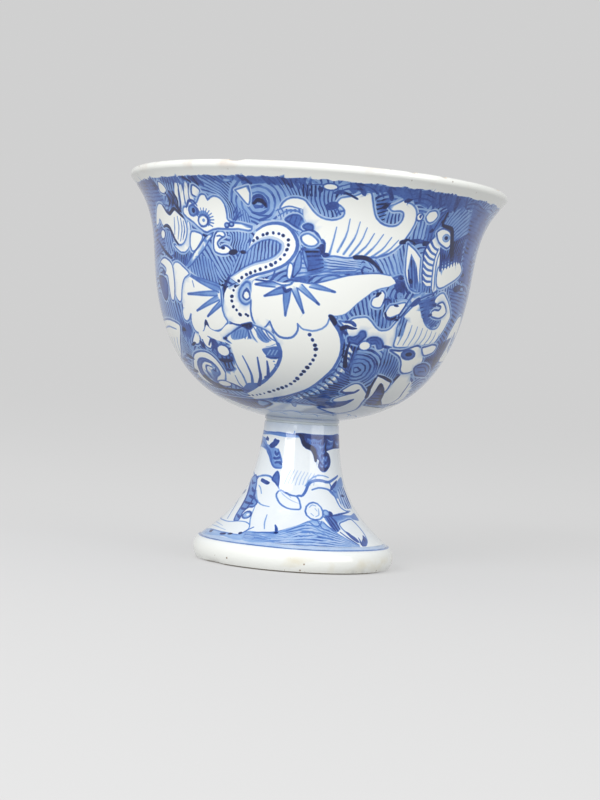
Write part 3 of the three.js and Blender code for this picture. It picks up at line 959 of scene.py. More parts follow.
# %% The great wave
def great_wave():
    crest = [
        (-12, 53), (-11.6, 54.9), (-9.6, 56.4), (-6.8, 56.9), (-4.1, 56.5), (-2.6, 55.5), (-1.2, 54.4),
        (0.5, 53.5), (2.5, 53), (5.3, 52.9), (8, 53.6), (8.6, 54.6), (7.6, 55.6), (5.6, 56.2), (5.6, 56.2),
        (6.8, 57.4), (9, 57.8), (11.6, 58.3), (13.3, 59), (15.6, 59.1), (16.8, 57.5), (17.8, 55.6),
        (19.2, 54), (21.6, 53), (24.3, 52.7), (26.8, 53.1), (28.2, 54.3), (28, 55.6), (26.6, 56),
        (24, 55.8), (22.2, 56.6), (22.2, 56.6), (24.2, 57.2), (26, 58), (27.4, 58.8), (27.4, 58.8),
        (28.2, 58), (30, 57.7), (32, 56.8), (33, 55.6), (33.3, 54.2), (32.7, 52.8), (31.5, 51.3),
        (30, 49.9), (27.7, 48.4), (24.9, 47.2), (20.3, 46.3), (15.2, 46.2), (10.9, 45.7), (6.6, 45.9),
        (3.4, 45.7), (2.9, 46.6), (3, 48.2), (1.6, 48.6), (0.3, 49.9), (-1.3, 50.9), (-3.1, 51.7),
        (-4, 52.6), (-5.2, 53.9), (-9, 54),
    ]
    figure(crest, 0.4, MID)
    foam = [
        [(6.6, 51.6), (5.9, 48.8), (5, 46.2)], [(10.6, 53.4), (10.1, 50.4), (7.6, 46.8)],
        [(14, 53), (13, 50), (9.6, 46.4)], [(16.6, 52), (15.2, 49.3), (11.8, 46.2)],
        [(19.3, 51), (17.2, 48.5), (13.6, 46.2)], [(22.5, 51), (20, 48.5), (16.4, 46.2)],
        [(25.6, 50.6), (23, 48.2), (19, 46.2)], [(28.3, 50.2), (25, 47.9), (20.8, 46.2)],
    ]
    lines(foam, 0.42, SOFT * 1.15, (0.5, 1, 1.3))
    line([(5.4, 57.6), (6.2, 58.6), (8.4, 58.5), (10.4, 58), (12, 57.5)], 0.6, INK)
    blots([
        (4.6, 55.6, 1.2, 0.8, 20), (6.2, 58.6, 1.1, 0.6, 0), (21.4, 56.6, 1, 0.5, 40),
        (28.6, 58.4, 1.1, 0.45, 20),
    ])
    blots([
        (2.4, 47.2, 0.5, 1.1, 0), (3.6, 46, 0.8, 0.45, 0), (30.8, 50, 1.2, 0.5, 15),
        (0.6, 58.8, 0.6, 0.8, 0),
    ])
    lines([[(8.2, 54.9), (6.8, 54.6), (6.2, 53.8)], [(6.4, 55.6), (5.6, 54.4)]], 0.5, DEEP)
    oval((3.4, 59.6), 1.5, 0.75)
    line([
        (13.6, 46), (15.4, 46.1), (17.6, 46), (20.4, 45.2), (22.8, 44), (24.4, 42.9), (25.1, 42),
    ], 0.85, INK, (1, 1.1, 0.7, 0.5))

# %% [markdown]
# Right of the wing the waves are smaller. Each is one white shape, with dark caps where water folds over.

# %% Waves on the right
def right_waves():
    low_wave = [
        (10.6, 33.2), (13.8, 33), (15.6, 33.9), (18.4, 34.3), (20.5, 34.4), (22.3, 33.8), (24.8, 32.5),
        (27, 31.9), (30.5, 32.3), (32.2, 33.5), (33.6, 34.6), (34.2, 32.9), (34.5, 30.8), (34.6, 28.6),
        (31, 28.8), (29.7, 28.4), (27, 30.2), (24.3, 30.1), (21.8, 30), (20.5, 31.2), (18, 30.4),
        (14.9, 30), (13.4, 31.8),
    ]
    figure(low_wave, 0.36, MID)
    scrap = [
        (23.6, 39), (21.6, 38.2), (21.4, 37), (22.6, 36.5), (25, 36.6), (25.8, 37.4), (26, 39.4),
        (24.6, 40),
    ]
    figure(scrap, 0.32, MID)
    line([(25.8, 37.6), (26.6, 38.4), (28.4, 38.2), (29.2, 37.2), (28, 36.4), (27.3, 35.4)], 0.5, DEEP)
    area([(26.2, 38), (28.6, 38.2), (29.2, 37.2), (27.6, 36)], MID)
    figure([
        (28.8, 37.2), (27.6, 36), (27.5, 35.1), (29.7, 34.7), (31.7, 35.2), (34, 35.8), (35, 38),
        (30.6, 37.4),
    ], 0.32, MID)
    blots([
        (23.4, 39.1, 0.7, 0.45, 30), (31.4, 37.2, 0.7, 0.3, 0), (34.4, 35.2, 1.1, 0.6, 35),
        (33.6, 34.4, 1.2, 0.4, 0),
    ])
    line([(27.3, 35.6), (28.4, 34.6), (30.6, 34.4), (32.2, 35)], 0.62, INK)
    line([(12, 31.7), (13.8, 32.1), (15.6, 31.9), (17.6, 31.9)], 0.95, INK, (1, 1, 0.7, 0.2))
    lines([
        [(12.5, 31.4), (13.9, 30.7), (15, 29.6), (15.6, 28.8)], [(13, 33.2), (15.6, 33), (17, 32.4)],
    ], 0.75, DEEP)
    cap = [
        (14.9, 29.9), (17, 30), (18.5, 30.5), (19.4, 31.4), (20.9, 31.4), (21.7, 30.4), (20.9, 29.8),
        (19.9, 29.2), (19.2, 28.6), (17.3, 28.8), (15.8, 28.7),
    ]
    figure(cap, 0.45, DEEP, MID)
    next_cap = [
        (22.6, 29.7), (24.3, 30.3), (26.9, 30.3), (29.1, 29.6), (30, 28.4), (28, 28), (26.6, 29),
        (24.6, 28.9),
    ]
    figure(next_cap, 0.45, DEEP, MID)
    lines([[(16, 29.6), (17.6, 29.4), (19.2, 30.4)], [(24, 29.6), (26.4, 29.8), (28, 29)]], 0.4, DEEP)
    oval((22.2, 28.4), 1.3, 1.05, tone=MID)
    line([
        (30, 28.6), (33.6, 28.3), (38.5, 28.1), (41, 28.5), (44, 29.2), (47, 29.7), (49.8, 29.2),
    ], 0.8, INK)
    line([(49.8, 29.2), (53.5, 30), (57, 30.3), (60.4, 29.6)], 0.5, INK)
    crest = [
        (34.9, 28.8), (34.5, 30.8), (33.8, 32.9), (35, 35), (38.1, 37.2), (41.3, 38.6), (43, 37.7),
        (44.4, 36.4), (45.5, 34.9), (48.2, 33.7), (51.7, 33.2), (55, 33.6), (56, 34.9), (55, 35.8),
        (51.6, 35.7), (49, 36), (48.5, 36.7), (49.8, 37.3), (52.8, 37.4), (53.5, 38), (50.8, 38.4),
        (48.8, 38.8), (49.6, 40), (53, 40.9), (55.9, 40), (60, 38.1), (62.5, 36.2), (61.6, 34.6),
        (60.4, 33), (58.7, 31.4), (57.4, 30.4), (49.8, 29.5), (41, 28.8),
    ]
    figure(crest, 0.38, MID)
    hatch([
        [(40.5, 38.6), (45.4, 34.8), (51.7, 33.3)], [(48.6, 40), (49.4, 38), (48.6, 36), (55.4, 35.2)],
    ], 0.88, DEEP, MID)
    figure([
        (51, 38.3), (53.6, 38), (52.8, 37.3), (49.8, 37.2), (48.6, 36.7), (49.2, 35.9), (51.6, 35.6),
        (55, 35.7), (58, 37), (54, 39),
    ], 0.4, DEEP)
    blots([(49, 38.2, 1.3, 0.4, 0), (48.2, 36, 0.9, 0.35, 20)])
    hatch([[(34.4, 35.4), (37.6, 34.6)], [(34.4, 31), (37, 31)]], 0.85, DEEP, SOFT)
    for step in range(8):
        root = 36.4 + 2.7 * step
        line([
            (root, 29.2), (root + 0.8 + 0.3 * step, 31.3), (root + 1 + 0.3 * step, 33.8 - 0.2 * step),
        ], 0.34, SOFT)
    tail = [(33.8, 35.3), (35.6, 37), (37.8, 38.8), (40.6, 39.7), (44, 40.6), (47.5, 41.2), (50, 42.4)]
    over(tail, [1.0, 1.7, 1.7, 1.2], DEEP)
    over(tail, [0.2, 0.9, 0.9, 0.5], PALE * 0.5)
    blots([
        (50, 41.9, 1.2, 0.4, 15), (62.6, 42.1, 2.4, 0.8, 10), (64, 45.2, 1.4, 0.5, 0),
        (39.6, 38.4, 1.4, 0.6, 30),
    ])
    side_crest = [
        (64, 27.5), (66, 31), (68.5, 34.4), (72, 36.6), (76, 36.8), (79, 35), (79.6, 32.8), (78, 31.6),
        (76.4, 32.4), (74.6, 33.2), (74, 31.4), (76, 29.4), (81, 28.4), (87, 27.6), (80, 26.4), (72, 26.2),
    ]
    figure(side_crest, 0.36, DEEP)
    lines([
        [(66 + 2.4 * i, 27.2), (67.6 + 2.2 * i, 29.4), (69.4 + 1.6 * i, 31.8)]
        for i in range(4)
    ], 0.34, SOFT)

# %% [markdown]
# A crane-like bird rises out of the foam on the right. Its neck is barred, its breast is left white, and
# thin upright strokes make the feathers on its back.

# %% The bird
def sea_bird():
    figure([(40, 53), (41.4, 55), (43, 56.8), (45.2, 57.6), (45.2, 55), (44, 53)], 0.4, DEEP, MID, 0)
    lines([[(41.6, 53), (43, 55.4), (44.4, 57)], [(43, 53), (44.4, 55.4)]], 0.4, INK)
    figure([(36.8, 55.4), (37.6, 56.6), (40, 57), (41.6, 56), (40.4, 54.7), (38.4, 54.4)], 0.36, MID)
    oval((34.4, 55.3), 0.8, 0.85)
    blots([
        (34.5, 55.4, 0.4, 0.4, 0), (39.6, 50.2, 1, 0.6, 20), (33.4, 50, 1.3, 0.4, 0),
        (40.6, 52.8, 0.7, 0.4, 40),
    ])
    line([(30.4, 50), (33, 50.3), (36, 50.6), (40, 50.4)], 0.7, DEEP)
    neck_left = [(43.6, 52.2), (41, 50.6), (39.6, 49), (39.3, 47), (39.6, 45), (40.2, 43.4), (41, 41.6)]
    neck_right = [
        (47, 50.6), (45.6, 49), (44.9, 47.4), (44.8, 45.8), (44.6, 44), (44.6, 42.6), (45.4, 41.2),
    ]
    left_bare(neck_left + neck_right[::-1])
    strip = [
        (46.4, 49.8), (47.6, 48), (48, 45.6), (48.4, 43.4), (48, 41.2), (45, 41.2), (44.6, 45), (45.4, 49),
    ]
    left_bare(strip)
    lines([
        [(turned + 1, 49.6), (turned, 47), (turned + 0.2, 44), (turned + 1, 41.2)]
        for turned in (44.8, 46.2)
    ], 0.4, MID)
    bars = np.linspace(0.16, 0.94, 8)
    for left, right in zip(shares_of(neck_left, bars)[0], shares_of(neck_right, bars)[0]):
        line([left, (left + right) / 2 + (0, -0.4), right], 0.6, MID, (1.2, 0.8, 0.8, 0.7))
    line(neck_left, 0.5, DEEP)
    hatch([[(47, 50.4), (62, 53)], [(47.6, 47.4), (60, 49)]], 0.88, INK, MID)
    breast = [
        (47.6, 45.8), (51, 46), (57, 47.6), (60.4, 47.6), (63.4, 46), (62, 44.8), (56, 43), (50, 41.7),
        (48, 42.4),
    ]
    figure(breast, 0.35, MID)
    for step in range(8):
        turned = 47.6 + 1.75 * step
        low = 45.2 + 0.34 * step
        add_mark(brush_path([
            (turned, 49.6 + 0.2 * step), (turned + 0.8, 47.8), (turned + 1.2, low),
        ]), DEEP, [1.2, 1.1, 0.3])
        line([(turned + 0.9, 49.4 + 0.2 * step), (turned + 1.6, 47.6)], 0.4, MID)
    head = [
        (43.4, 52.7), (44.6, 53.4), (46.6, 53.7), (50, 53.2), (51.4, 52), (51.8, 50.6), (50.4, 49.9),
        (47.8, 50.2), (45.3, 50.9), (44, 51.8),
    ]
    figure(head, 0.4, DEEP)
    line([
        (45.3, 57), (45.1, 54.4), (47.4, 54.2), (50.4, 53.8), (52, 52), (53.2, 50), (54.6, 48.2),
    ], 1.0, INK, (0.5, 0.7, 1, 1.6))
    oval((48.7, 51.9), 1.15, 0.75, inside=PALE, width=0.3, tone=SOFT)
    oval((48.7, 51.9), 0.62, 0.42, inside=INK, width=0)
    add_mark(brush_path([
        (53.4, 50.7), (57, 52), (62, 53.2), (70, 53.4), (78, 52.4),
    ]), DEEP, [0.9, 1.2, 0.8])
    fin = [
        (32, 49.8), (32, 49.8), (35.4, 48.7), (38.4, 47.2), (38.4, 47.2), (38.9, 44), (40, 40.6),
        (36, 40.8), (33, 43.4), (32.2, 46.4),
    ]
    figure(fin, 0.36, MID)
    blade = [
        (34, 47.9), (34, 47.9), (36.8, 45.8), (38.4, 43), (39.6, 40.7), (39.6, 40.7), (36.4, 40.9),
        (34, 43.2), (33.7, 45.6),
    ]
    area(blade, SOFT)
    ribs = [
        [(34.2, 47.2), (35.3, 44.4), (36.6, 41.2)], [(35.4, 46.6), (36.7, 43.9), (38, 41)],
        [(36.9, 45.4), (38, 43), (39.2, 41)],
    ]
    lines(ribs + [[(33.8, 44.6), (34.8, 42.6), (36, 41.2)]], 0.55, DEEP)
    blots([(34.6, 46, 0.35, 0.8, 10), (35.6, 42.4, 0.5, 0.5, 0), (31.4, 42.8, 0.7, 0.6, 0)])
    hatch([[(38.5, 42.4), (46, 41.4)], [(38.6, 40.4), (47, 40.6)]], 0.85, DEEP, SOFT)

# %% [markdown]
# Low on the right sits a beast with a trunk. Its head is one white shape round a single painted eye.

# %% The beast with a trunk
def trunk_beast():
    body = [
        (44.1, 17.3), (44.1, 20.3), (46, 22.8), (49.7, 22.9), (54, 21.6), (60, 20), (66, 18), (70, 14.5),
        (62, 13), (50, 13),
    ]
    left_bare(body, False)
    line([(45.6, 23), (44, 20.3), (43.8, 17.3), (46.5, 14.5)], 0.7, INK, (1, 1.3, 1, 0.6))
    line([(57, 20.3), (59.3, 17.6), (62.5, 15.5), (62, 13.6), (56, 12.8), (49, 12.6)], 0.5, INK)
    hatch([[(52, 28.4), (60, 30), (72, 32)], [(53, 25.6), (58, 24.6), (70, 24)]], 0.98, INK, DEEP)
    head = [
        (33.8, 27.9), (38.5, 27.9), (41, 28.2), (44, 28.9), (47, 29.4), (49.8, 29), (53, 27.7),
        (55.1, 26.1), (54.8, 25), (52.5, 23.6), (49.7, 22.9), (46, 22.8), (43.6, 23.6), (42.4, 25),
        (39.4, 26.6),
    ]
    figure(head, 0.42, DEEP)
    oval((44, 27.2), 2.0, 1.05, -6, inside=MID, width=0.5, tone=DEEP)
    oval((44.2, 27.3), 1.0, 0.5, inside=INK, width=0)
    figure([
        (50.4, 29), (53, 29.4), (57.3, 30), (60.4, 29.6), (60, 28.4), (56.9, 27.6), (53.4, 27.4),
    ], 0.4, DEEP)
    figure([
        (52, 24.4), (55.6, 25.4), (60, 25.4), (66, 24.2), (67.6, 22.6), (62, 22.4), (56, 22.6),
    ], 0.42, INK, MID)
    lines([[(54, 24.4), (60, 24.6), (64, 23.6)], [(57, 23.4), (62, 23.6)]], 0.4, INK)
    leg = [
        (35.6, 14.4), (33.5, 17.8), (33.2, 20.9), (33.5, 21.8), (37.7, 21.3), (43, 20.3), (44.1, 17.3),
        (41, 17.8), (37.5, 19.6), (37.5, 19.6), (38.2, 16), (37.6, 14.2),
    ]
    figure(leg, 0.42, DEEP)
    lines([[(33.2, 21.8), (37.7, 21.3), (43, 20.3)], [(35.6, 14.4), (33.4, 17.6), (32.8, 21)]], 0.7, INK)
    area([(37.2, 19.8), (44.1, 17.3), (48, 14.6), (54, 12.8), (44, 12.4), (38.5, 13.3), (37.8, 16)], INK)
    hatch([[(38.5, 17), (38, 13.4)], [(44, 17), (48, 13)]], 0.98, INK, DEEP)

# %% [markdown]
# Water runs out below the beasts. Small dark wedges along its edge give it scales.

# %% Claw and shallow water
def claw_water():
    claw = [
        (18.6, 16.4), (20.6, 18), (23.8, 19.2), (26.7, 19.1), (30.5, 17.7), (35, 15.8), (36, 13.4),
        (38, 10), (30, 7.5), (18, 8.2), (9.7, 10), (15.5, 9.8), (21.5, 10.5), (25.8, 12), (28.4, 14.2),
        (28.4, 14.2), (24, 13.2), (17, 13), (16.6, 13.8), (20, 15), (26, 16.6),
    ]
    figure(claw, 0.42, DEEP)
    line([(27.6, 17.4), (26.2, 16.6), (22.2, 16.1), (18.8, 16.6)], 0.75, DEEP)
    line([(32, 18.6), (33.6, 17.4), (35.6, 15)], 0.8, INK)
    area([
        (8, 12.6), (14, 12.4), (20, 12.8), (26, 13.6), (28.6, 14.4), (27.4, 12.6), (22, 10.9), (15, 10.4),
        (9, 10.7),
    ], DEEP)
    line([
        (-16.3, 11.9), (-10.4, 11.5), (-4.1, 11.3), (2.4, 11.2), (9.7, 10.7), (15.5, 10.3), (21.5, 10.7),
        (25.8, 12), (28.4, 14),
    ], 0.6, DEEP, (0.3, 0.8, 1.2, 1.2, 0.7))
    figure([(-7.4, 11.2), (-6.8, 9.8), (-5.4, 9.4), (-4.8, 10.4), (-4.6, 11.2)], 0.2, MID, SOFT, 0)
    scales = shares_of([
        (-5, 14), (2, 15.6), (8.4, 18.6), (13, 21.4), (15, 25), (15.4, 28),
    ], np.linspace(0, 1, 15))[0]
    for turned, up in scales:
        reach, drop = dice.uniform(0.8, 2.4), dice.uniform(0.5, 1.6)
        white = [(turned + 0.2, up - 0.5), (turned + reach + 0.4, up - 0.6 - drop / 2)]
        over(white, [1.1, 0.5], 0)
        wedge = [(turned - 0.6, up + 0.3), (turned + reach, up - 0.1), (turned + reach + 1.2, up - drop)]
        add_mark(brush_path(wedge), DEEP, [0.4, 0.7, 0.15])
    line([(15.9, 28.9), (15.4, 27), (15.6, 25), (16.4, 23.4)], 0.8, INK, (0.5, 1, 1.3))

# %% [markdown]
# On the left, under the wing, the sea breaks in a spiral, with fingers of spray and round drops beside it.
# At the very left an arm of the next beast comes into view.

# %% The spiral and the spray
def spiral_wave():
    hatch([[(-52, 25), (-46, 28.6), (-43.6, 27)], [(-42, 20), (-38, 20), (-33, 20.4)]], 0.85, DEEP, SOFT)
    spray = [
        (-46.4, 27.2), (-45.6, 29), (-43.6, 28.6), (-41.4, 27.6), (-41.6, 26.2), (-43, 25.4), (-45.2, 25.8),
    ]
    figure(spray, 0.35, DEEP)
    arcs = [
        [(-43.4, 26.2), (-41.4, 27.4), (-39.4, 27.2), (-38.2, 26.2)],
        [(-42.4, 25), (-40.8, 25.8), (-39.8, 25.2), (-40.4, 23.8)],
        [
            (-50.4, 26), (-47, 24.9), (-44, 23.6), (-41.7, 22.4), (-39.2, 20.9), (-37, 20.4), (-33.6, 20.7),
            (-32.3, 21.8),
        ],
    ]
    lines(arcs, 0.62, DEEP)
    area([(-41.6, 26.8), (-39.4, 27.2), (-38.4, 26), (-40, 25.2)], DEEP)
    hatch([[(-40, 24), (-31.6, 24.4)], [(-40, 21), (-32, 20.8)]], 0.98, INK, MID)
    oval((-36.4, 25.1), 1.65, 1.35)
    lines([[(-38.6, 26.2), (-36.4, 26.9), (-34, 26.2), (-33, 24.6), (-33.4, 23.2)]], 0.42, MID)
    blots([(-33.6, 23.4, 0.6, 0.5, 0), (-36.8, 22.8, 1.6, 0.5, 0)])
    figure([(-53.6, 26.6), (-51.6, 28), (-49.4, 29), (-47.6, 28.6), (-47.8, 27.2), (-50, 26.2)], 0.4, DEEP)
    blots([(-58, 29.6, 1.6, 0.5, 0), (-47.6, 26.2, 0.6, 1, 20), (-53.4, 26.2, 1, 0.4, 20)])
    rim = [
        (-64, 20.8), (-60, 22.5), (-56, 24), (-50, 24.7), (-45, 24.3), (-42, 22.9), (-40.5, 21),
        (-40.3, 19), (-42, 17.6), (-46, 16), (-51, 15.2), (-57, 15), (-62, 15.8), (-66, 17.4),
        (-66.4, 19.4),
    ]
    figure(rim, 0.45, DEEP)
    trough = [
        (-61.4, 18.4), (-59.6, 20.4), (-57, 21.9), (-53, 22.9), (-49, 22.9), (-45.8, 22.2), (-43.8, 20.8),
        (-44, 19.4), (-45.6, 18.9), (-48.4, 18.2), (-50.4, 17.2), (-49.6, 15.8), (-54, 15.2), (-58, 15.6),
    ]
    figure(trough, 0.42, DEEP, MID, 0)
    swirls = [
        [(-55, 17.6), (-55.6, 19.4), (-53.6, 21), (-50, 21.8), (-46.8, 21.2), (-45.2, 20)],
        [(-51.6, 18.6), (-51.4, 20), (-49, 20.7), (-47, 20)],
    ]
    for swirl in swirls:
        over(swirl, [0.6, 1.3, 1.0, 0.4], 0)
    lines([
        [(-57, 16.6), (-57.6, 19), (-55.6, 21), (-51, 22.3), (-47, 21.9)],
        [(-53.4, 17.8), (-53.4, 19.6), (-51, 21.2), (-47.6, 20.9)],
    ], 0.5, DEEP)
    line([(-47.8, 20.3), (-46.4, 19.8), (-45.6, 20.6)], 0.5, INK)
    area([(-61.6, 18), (-58, 18.6), (-54, 16.6), (-50, 16.2), (-49.6, 15.3), (-56, 15)], INK)
    oval((-45.8, 16.4), 2.0, 0.95)
    hatch([[(-42, 18), (-39, 19)], [(-36.6, 15), (-34, 15.8)]], 0.92, DEEP, SOFT)
    line([(-62, 15.6), (-57, 15), (-50, 14.9), (-44, 14.6), (-38, 14.5), (-33, 15), (-29, 15.8)], 0.85, INK)
    dark = [
        (-68, 13.6), (-60, 13.8), (-50, 12.9), (-42, 12.5), (-36, 12.3), (-31, 11.9), (-36, 11),
        (-50, 11.6), (-62, 12),
    ]
    add_mark(brush_path(dark, True), DEEP)
    arm = [
        (-85, 31), (-80, 31.4), (-74, 31.6), (-68, 31.5), (-63, 31), (-59.5, 30.2), (-60.6, 28.8),
        (-64.3, 26.6), (-70, 24), (-77, 22.6), (-86, 22),
    ]
    figure(arm, 0.45, DEEP)
    lines([[(-84 + 4 * i, 23), (-82 + 4 * i, 25.4), (-78.6 + 4 * i, 27.6)] for i in range(5)], 0.34, SOFT)
    lines([[(-82, 29.6), (-72, 30), (-64, 29.4)]], 0.4, MID)
    leaf = [
        (-66, 12.4), (-58, 12), (-50, 11.6), (-40, 11.4), (-32, 11.4), (-24, 11.2), (-21.6, 10.2),
        (-26, 8.8), (-33, 7.4), (-42, 7.1), (-50, 8), (-58, 10.4),
    ]
    figure(leaf, 0.5, INK, DEEP)
    hatch([[(-64, 12), (-45, 11.2), (-31, 11)], [(-56, 9.8), (-46, 7.6), (-33, 7.7)]], 0.98, INK, DEEP)
    figure([(-31, 10.9), (-27, 11), (-23, 10.3), (-27, 9.2), (-31, 8.6), (-33, 9.4)], 0.32, DEEP, PALE, 0)
    blots([
        (-62, 23.2, 1.8, 0.5, -20), (-70, 22.4, 2, 0.45, 0), (-66, 19.6, 1.4, 0.5, 0),
        (-72, 17, 2.4, 0.4, 0),
    ])

# %% [markdown]
# Near the stem the painter only marked shallow water with a few loose strokes, and ringed the joint.

# %% Bands at the bottom of the bowl
def bottom_bands():
    around = [(-180 + 12 * i, 1.5 + 0.1 * math.sin(1.9 * i)) for i in range(31)]
    line(around, 0.5, SOFT, (1, 0.9, 1.1, 1))
    line([(turned, 0.5) for turned in range(-180, 181, 12)], 0.7, MID, (1, 1))
    for step in range(24):
        turned = -180 + 15 * step + dice.uniform(-4, 4)
        up = dice.uniform(3.6, 6.6)
        line([(turned, up), (turned + 9, up + 0.9), (turned + 18, up - 0.2)], 0.3, SOFT)
        line([(turned + 9, up + 0.9), (turned + 14, up + 0.1), (turned + 17, up - 1.2)], 0.3, PALE * 1.3)

# %% [markdown]
# The stem is painted more loosely. Its collar is left white. Under it come a blue ring, dark water at the
# right, two white beasts that swim round the stem, and a mound of fine lines that they stand upon.

# %% The stem's rings and its water
def stem_rings():
    around = np.arange(-180, 181, 12)
    line([
        (turned, 26.5 + 0.1 * math.sin(1.3 * i))
        for i, turned in enumerate(around)
    ], 0.85, SOFT * 1.1, (1, 0.8, 1.1, 1))
    line([
        (turned, 26.8 + 0.1 * math.sin(1.7 * i))
        for i, turned in enumerate(around)
    ], 0.35, MID, (1, 0.5, 1.1, 1))
    low = [(turned, 1.05) for turned in around] + [(turned, 0) for turned in around[::-1]]
    add_mark(low, PALE * 0.75)
    line([
        (turned, -0.15 + 0.07 * math.sin(1.1 * i))
        for i, turned in enumerate(around)
    ], 0.5, MID * 0.9, (1, 1))


def stem_sea():
    dark = [
        (-6, 26.9), (20, 27), (50, 27), (80, 27), (92, 24.6), (75, 24.2), (60, 24.2), (48, 23.9),
        (41, 23.5), (46, 22.9), (48.4, 21.5), (46, 20.4), (40, 19.6), (34, 19.2), (28.6, 19.6),
        (26.4, 20.4), (28, 21.5), (24, 22), (20, 23.5), (10, 24.3), (3, 25.6),
    ]
    area(dark, DEEP * 1.12)
    edge = [
        (-8, 26.8), (-2, 26.7), (2, 26), (5, 25), (10, 24.4), (16.6, 24), (20, 23.3), (22, 22.4),
        (23, 21.4),
    ]
    line(edge, 0.85, INK, (0.5, 1, 1.3, 1, 0.7))
    flow = [
        [(10, 26), (15, 25.6), (20, 25.9), (26, 25.5), (32, 26)],
        [(14, 25), (20, 24.8), (25, 25), (30, 24.4)],
        [(24, 24.2), (28, 23.6), (31, 24.4), (35, 24.4), (38, 25.2)],
        [(26, 23.2), (29, 22.4), (32, 23.4), (35, 23), (37, 23.6)],
        [(30, 21.8), (33, 21.2), (35.6, 22.2), (38.6, 21.6), (41, 22.4)],
        [(29.6, 20.8), (32, 20.2), (35, 20.9), (38, 20.4), (42, 21.2)], [(42, 26.2), (50, 25.6), (58, 26)],
        [(62, 25.4), (70, 25), (78, 25.4)], [(42, 24.6), (48, 24.5), (54, 25)],
    ]
    for strand in flow:
        over(strand, [0.12, 0.3, 0.24, 0.1], PALE * 0.6)
    lines([
        [(27, 20.2), (32, 19.4), (38, 19.5), (44, 20.3)], [(30, 21), (34, 20.6), (40, 21), (46, 21.4)],
    ], 0.5, DEEP)
    lines([[(40, 26.4), (52, 26), (64, 26.2)], [(36, 22.8), (41, 23), (45, 22.4)]], 0.5, DEEP)
    arm = [
        (-92, 26), (-76, 25.6), (-64, 25.4), (-56, 24.2), (-50, 24), (-44, 23.7), (-38, 23.6), (-32, 23.2),
        (-29, 22), (-25, 21), (-22, 19.6), (-28, 19.3), (-36, 19.6), (-41, 20.6), (-46, 21.7), (-54, 22.7),
        (-64, 23.2), (-78, 23.4), (-92, 23),
    ]
    area(arm, SOFT)
    lines([
        [(-70, 24.6), (-56, 23.6), (-46, 22.6), (-40, 21)], [(-66, 23.6), (-52, 23), (-44, 21.8)],
    ], 0.42, MID)
    lines([
        [(-54, 22.7), (-46, 21.6), (-40, 20.3), (-34, 19.5), (-23, 19.4)],
        [(-33, 23.4), (-29, 22.4), (-23.4, 20.6)],
    ], 0.45, MID)
    lines([
        [(-37, 22.8), (-34, 22), (-31.4, 22.6)], [(-38, 21.4), (-33, 21.4), (-28, 21.6)],
        [(-34, 20.4), (-28, 20.7), (-24, 20.2)],
    ], 0.7, DEEP)
    for strand in ([(-38, 22.2), (-34, 21.7), (-30, 22)], [(-36, 20.8), (-31, 21), (-26, 20.9)]):
        over(strand, [0.1, 0.34, 0.12], PALE)
    blots([
        (-42, 24.2, 1.2, 0.6, 25), (-38.4, 24.9, 0.9, 0.55, 15), (-58, 25.3, 0.8, 0.45, 0),
        (-84, 24.4, 1.2, 0.6, 0),
    ])

# %% [markdown]
# The two beasts are left white and drawn with a few long lines. The soft strokes on the flank are the
# palest.

# %% The upper half of the stem's picture
def stem_curls():
    for step in range(9):
        turned = -16 + 4.4 * step
        line([
            (turned, 16 + 0.1 * (step % 3)), (turned + 2.4, 17.6), (turned + 6.4, 19.4 - 0.1 * step),
        ], 0.34, PALE * 0.9)
    rolls = [
        (
            [
                (-3, 13), (1, 13.7), (6, 13.8), (10, 15), (13, 16.4), (20, 17.2), (30, 17.3), (40, 17),
                (50, 17.6), (62, 18.4),
            ],
            0.62, MID,
        ),
        ([(9, 16), (14, 17.2), (22, 18.2), (32, 18.4), (42, 18)], 0.4, SOFT),
        (
            [
                (17, 15.2), (25, 15.7), (34, 15.6), (42, 15.1), (46.6, 13.8), (49.4, 11.6), (55, 10.6),
                (64, 10.4),
            ],
            0.5, MID,
        ),
        ([(42, 17), (45.6, 15.4), (50, 14.8), (58, 15.2)], 0.5, MID),
    ]
    for roll, width, tone in rolls:
        line(roll, width, tone)
    area([
        (38, 15.3), (44, 15), (52, 16.4), (62, 17.6), (74, 17.8), (74, 16.6), (60, 15.6), (50, 13.4),
    ], SOFT)
    hatch([[(51, 14.8), (58, 15.8), (72, 16)], [(52, 11.4), (58, 11), (72, 11)]], 1, MID, PALE)
    blots([(48.4, 16.3, 1.5, 0.45, 35), (62, 14, 0.6, 0.3, 0), (33.6, 9.9, 0.7, 0.62, 0)])
    leaf = [
        (-22.5, 13.6), (-18, 12), (-10, 10.8), (-2, 10.5), (4.4, 10.9), (3, 12.6), (0, 13.5), (-6, 13.7),
        (-14, 14.3), (-20, 14.6),
    ]
    figure(leaf, 0.42, MID, halo=0)
    lines([[(-20, 14.6), (-14, 13.6), (-6, 12.6), (2, 12)], [(-12, 14.2), (-6, 13.2)]], 0.24, PALE)


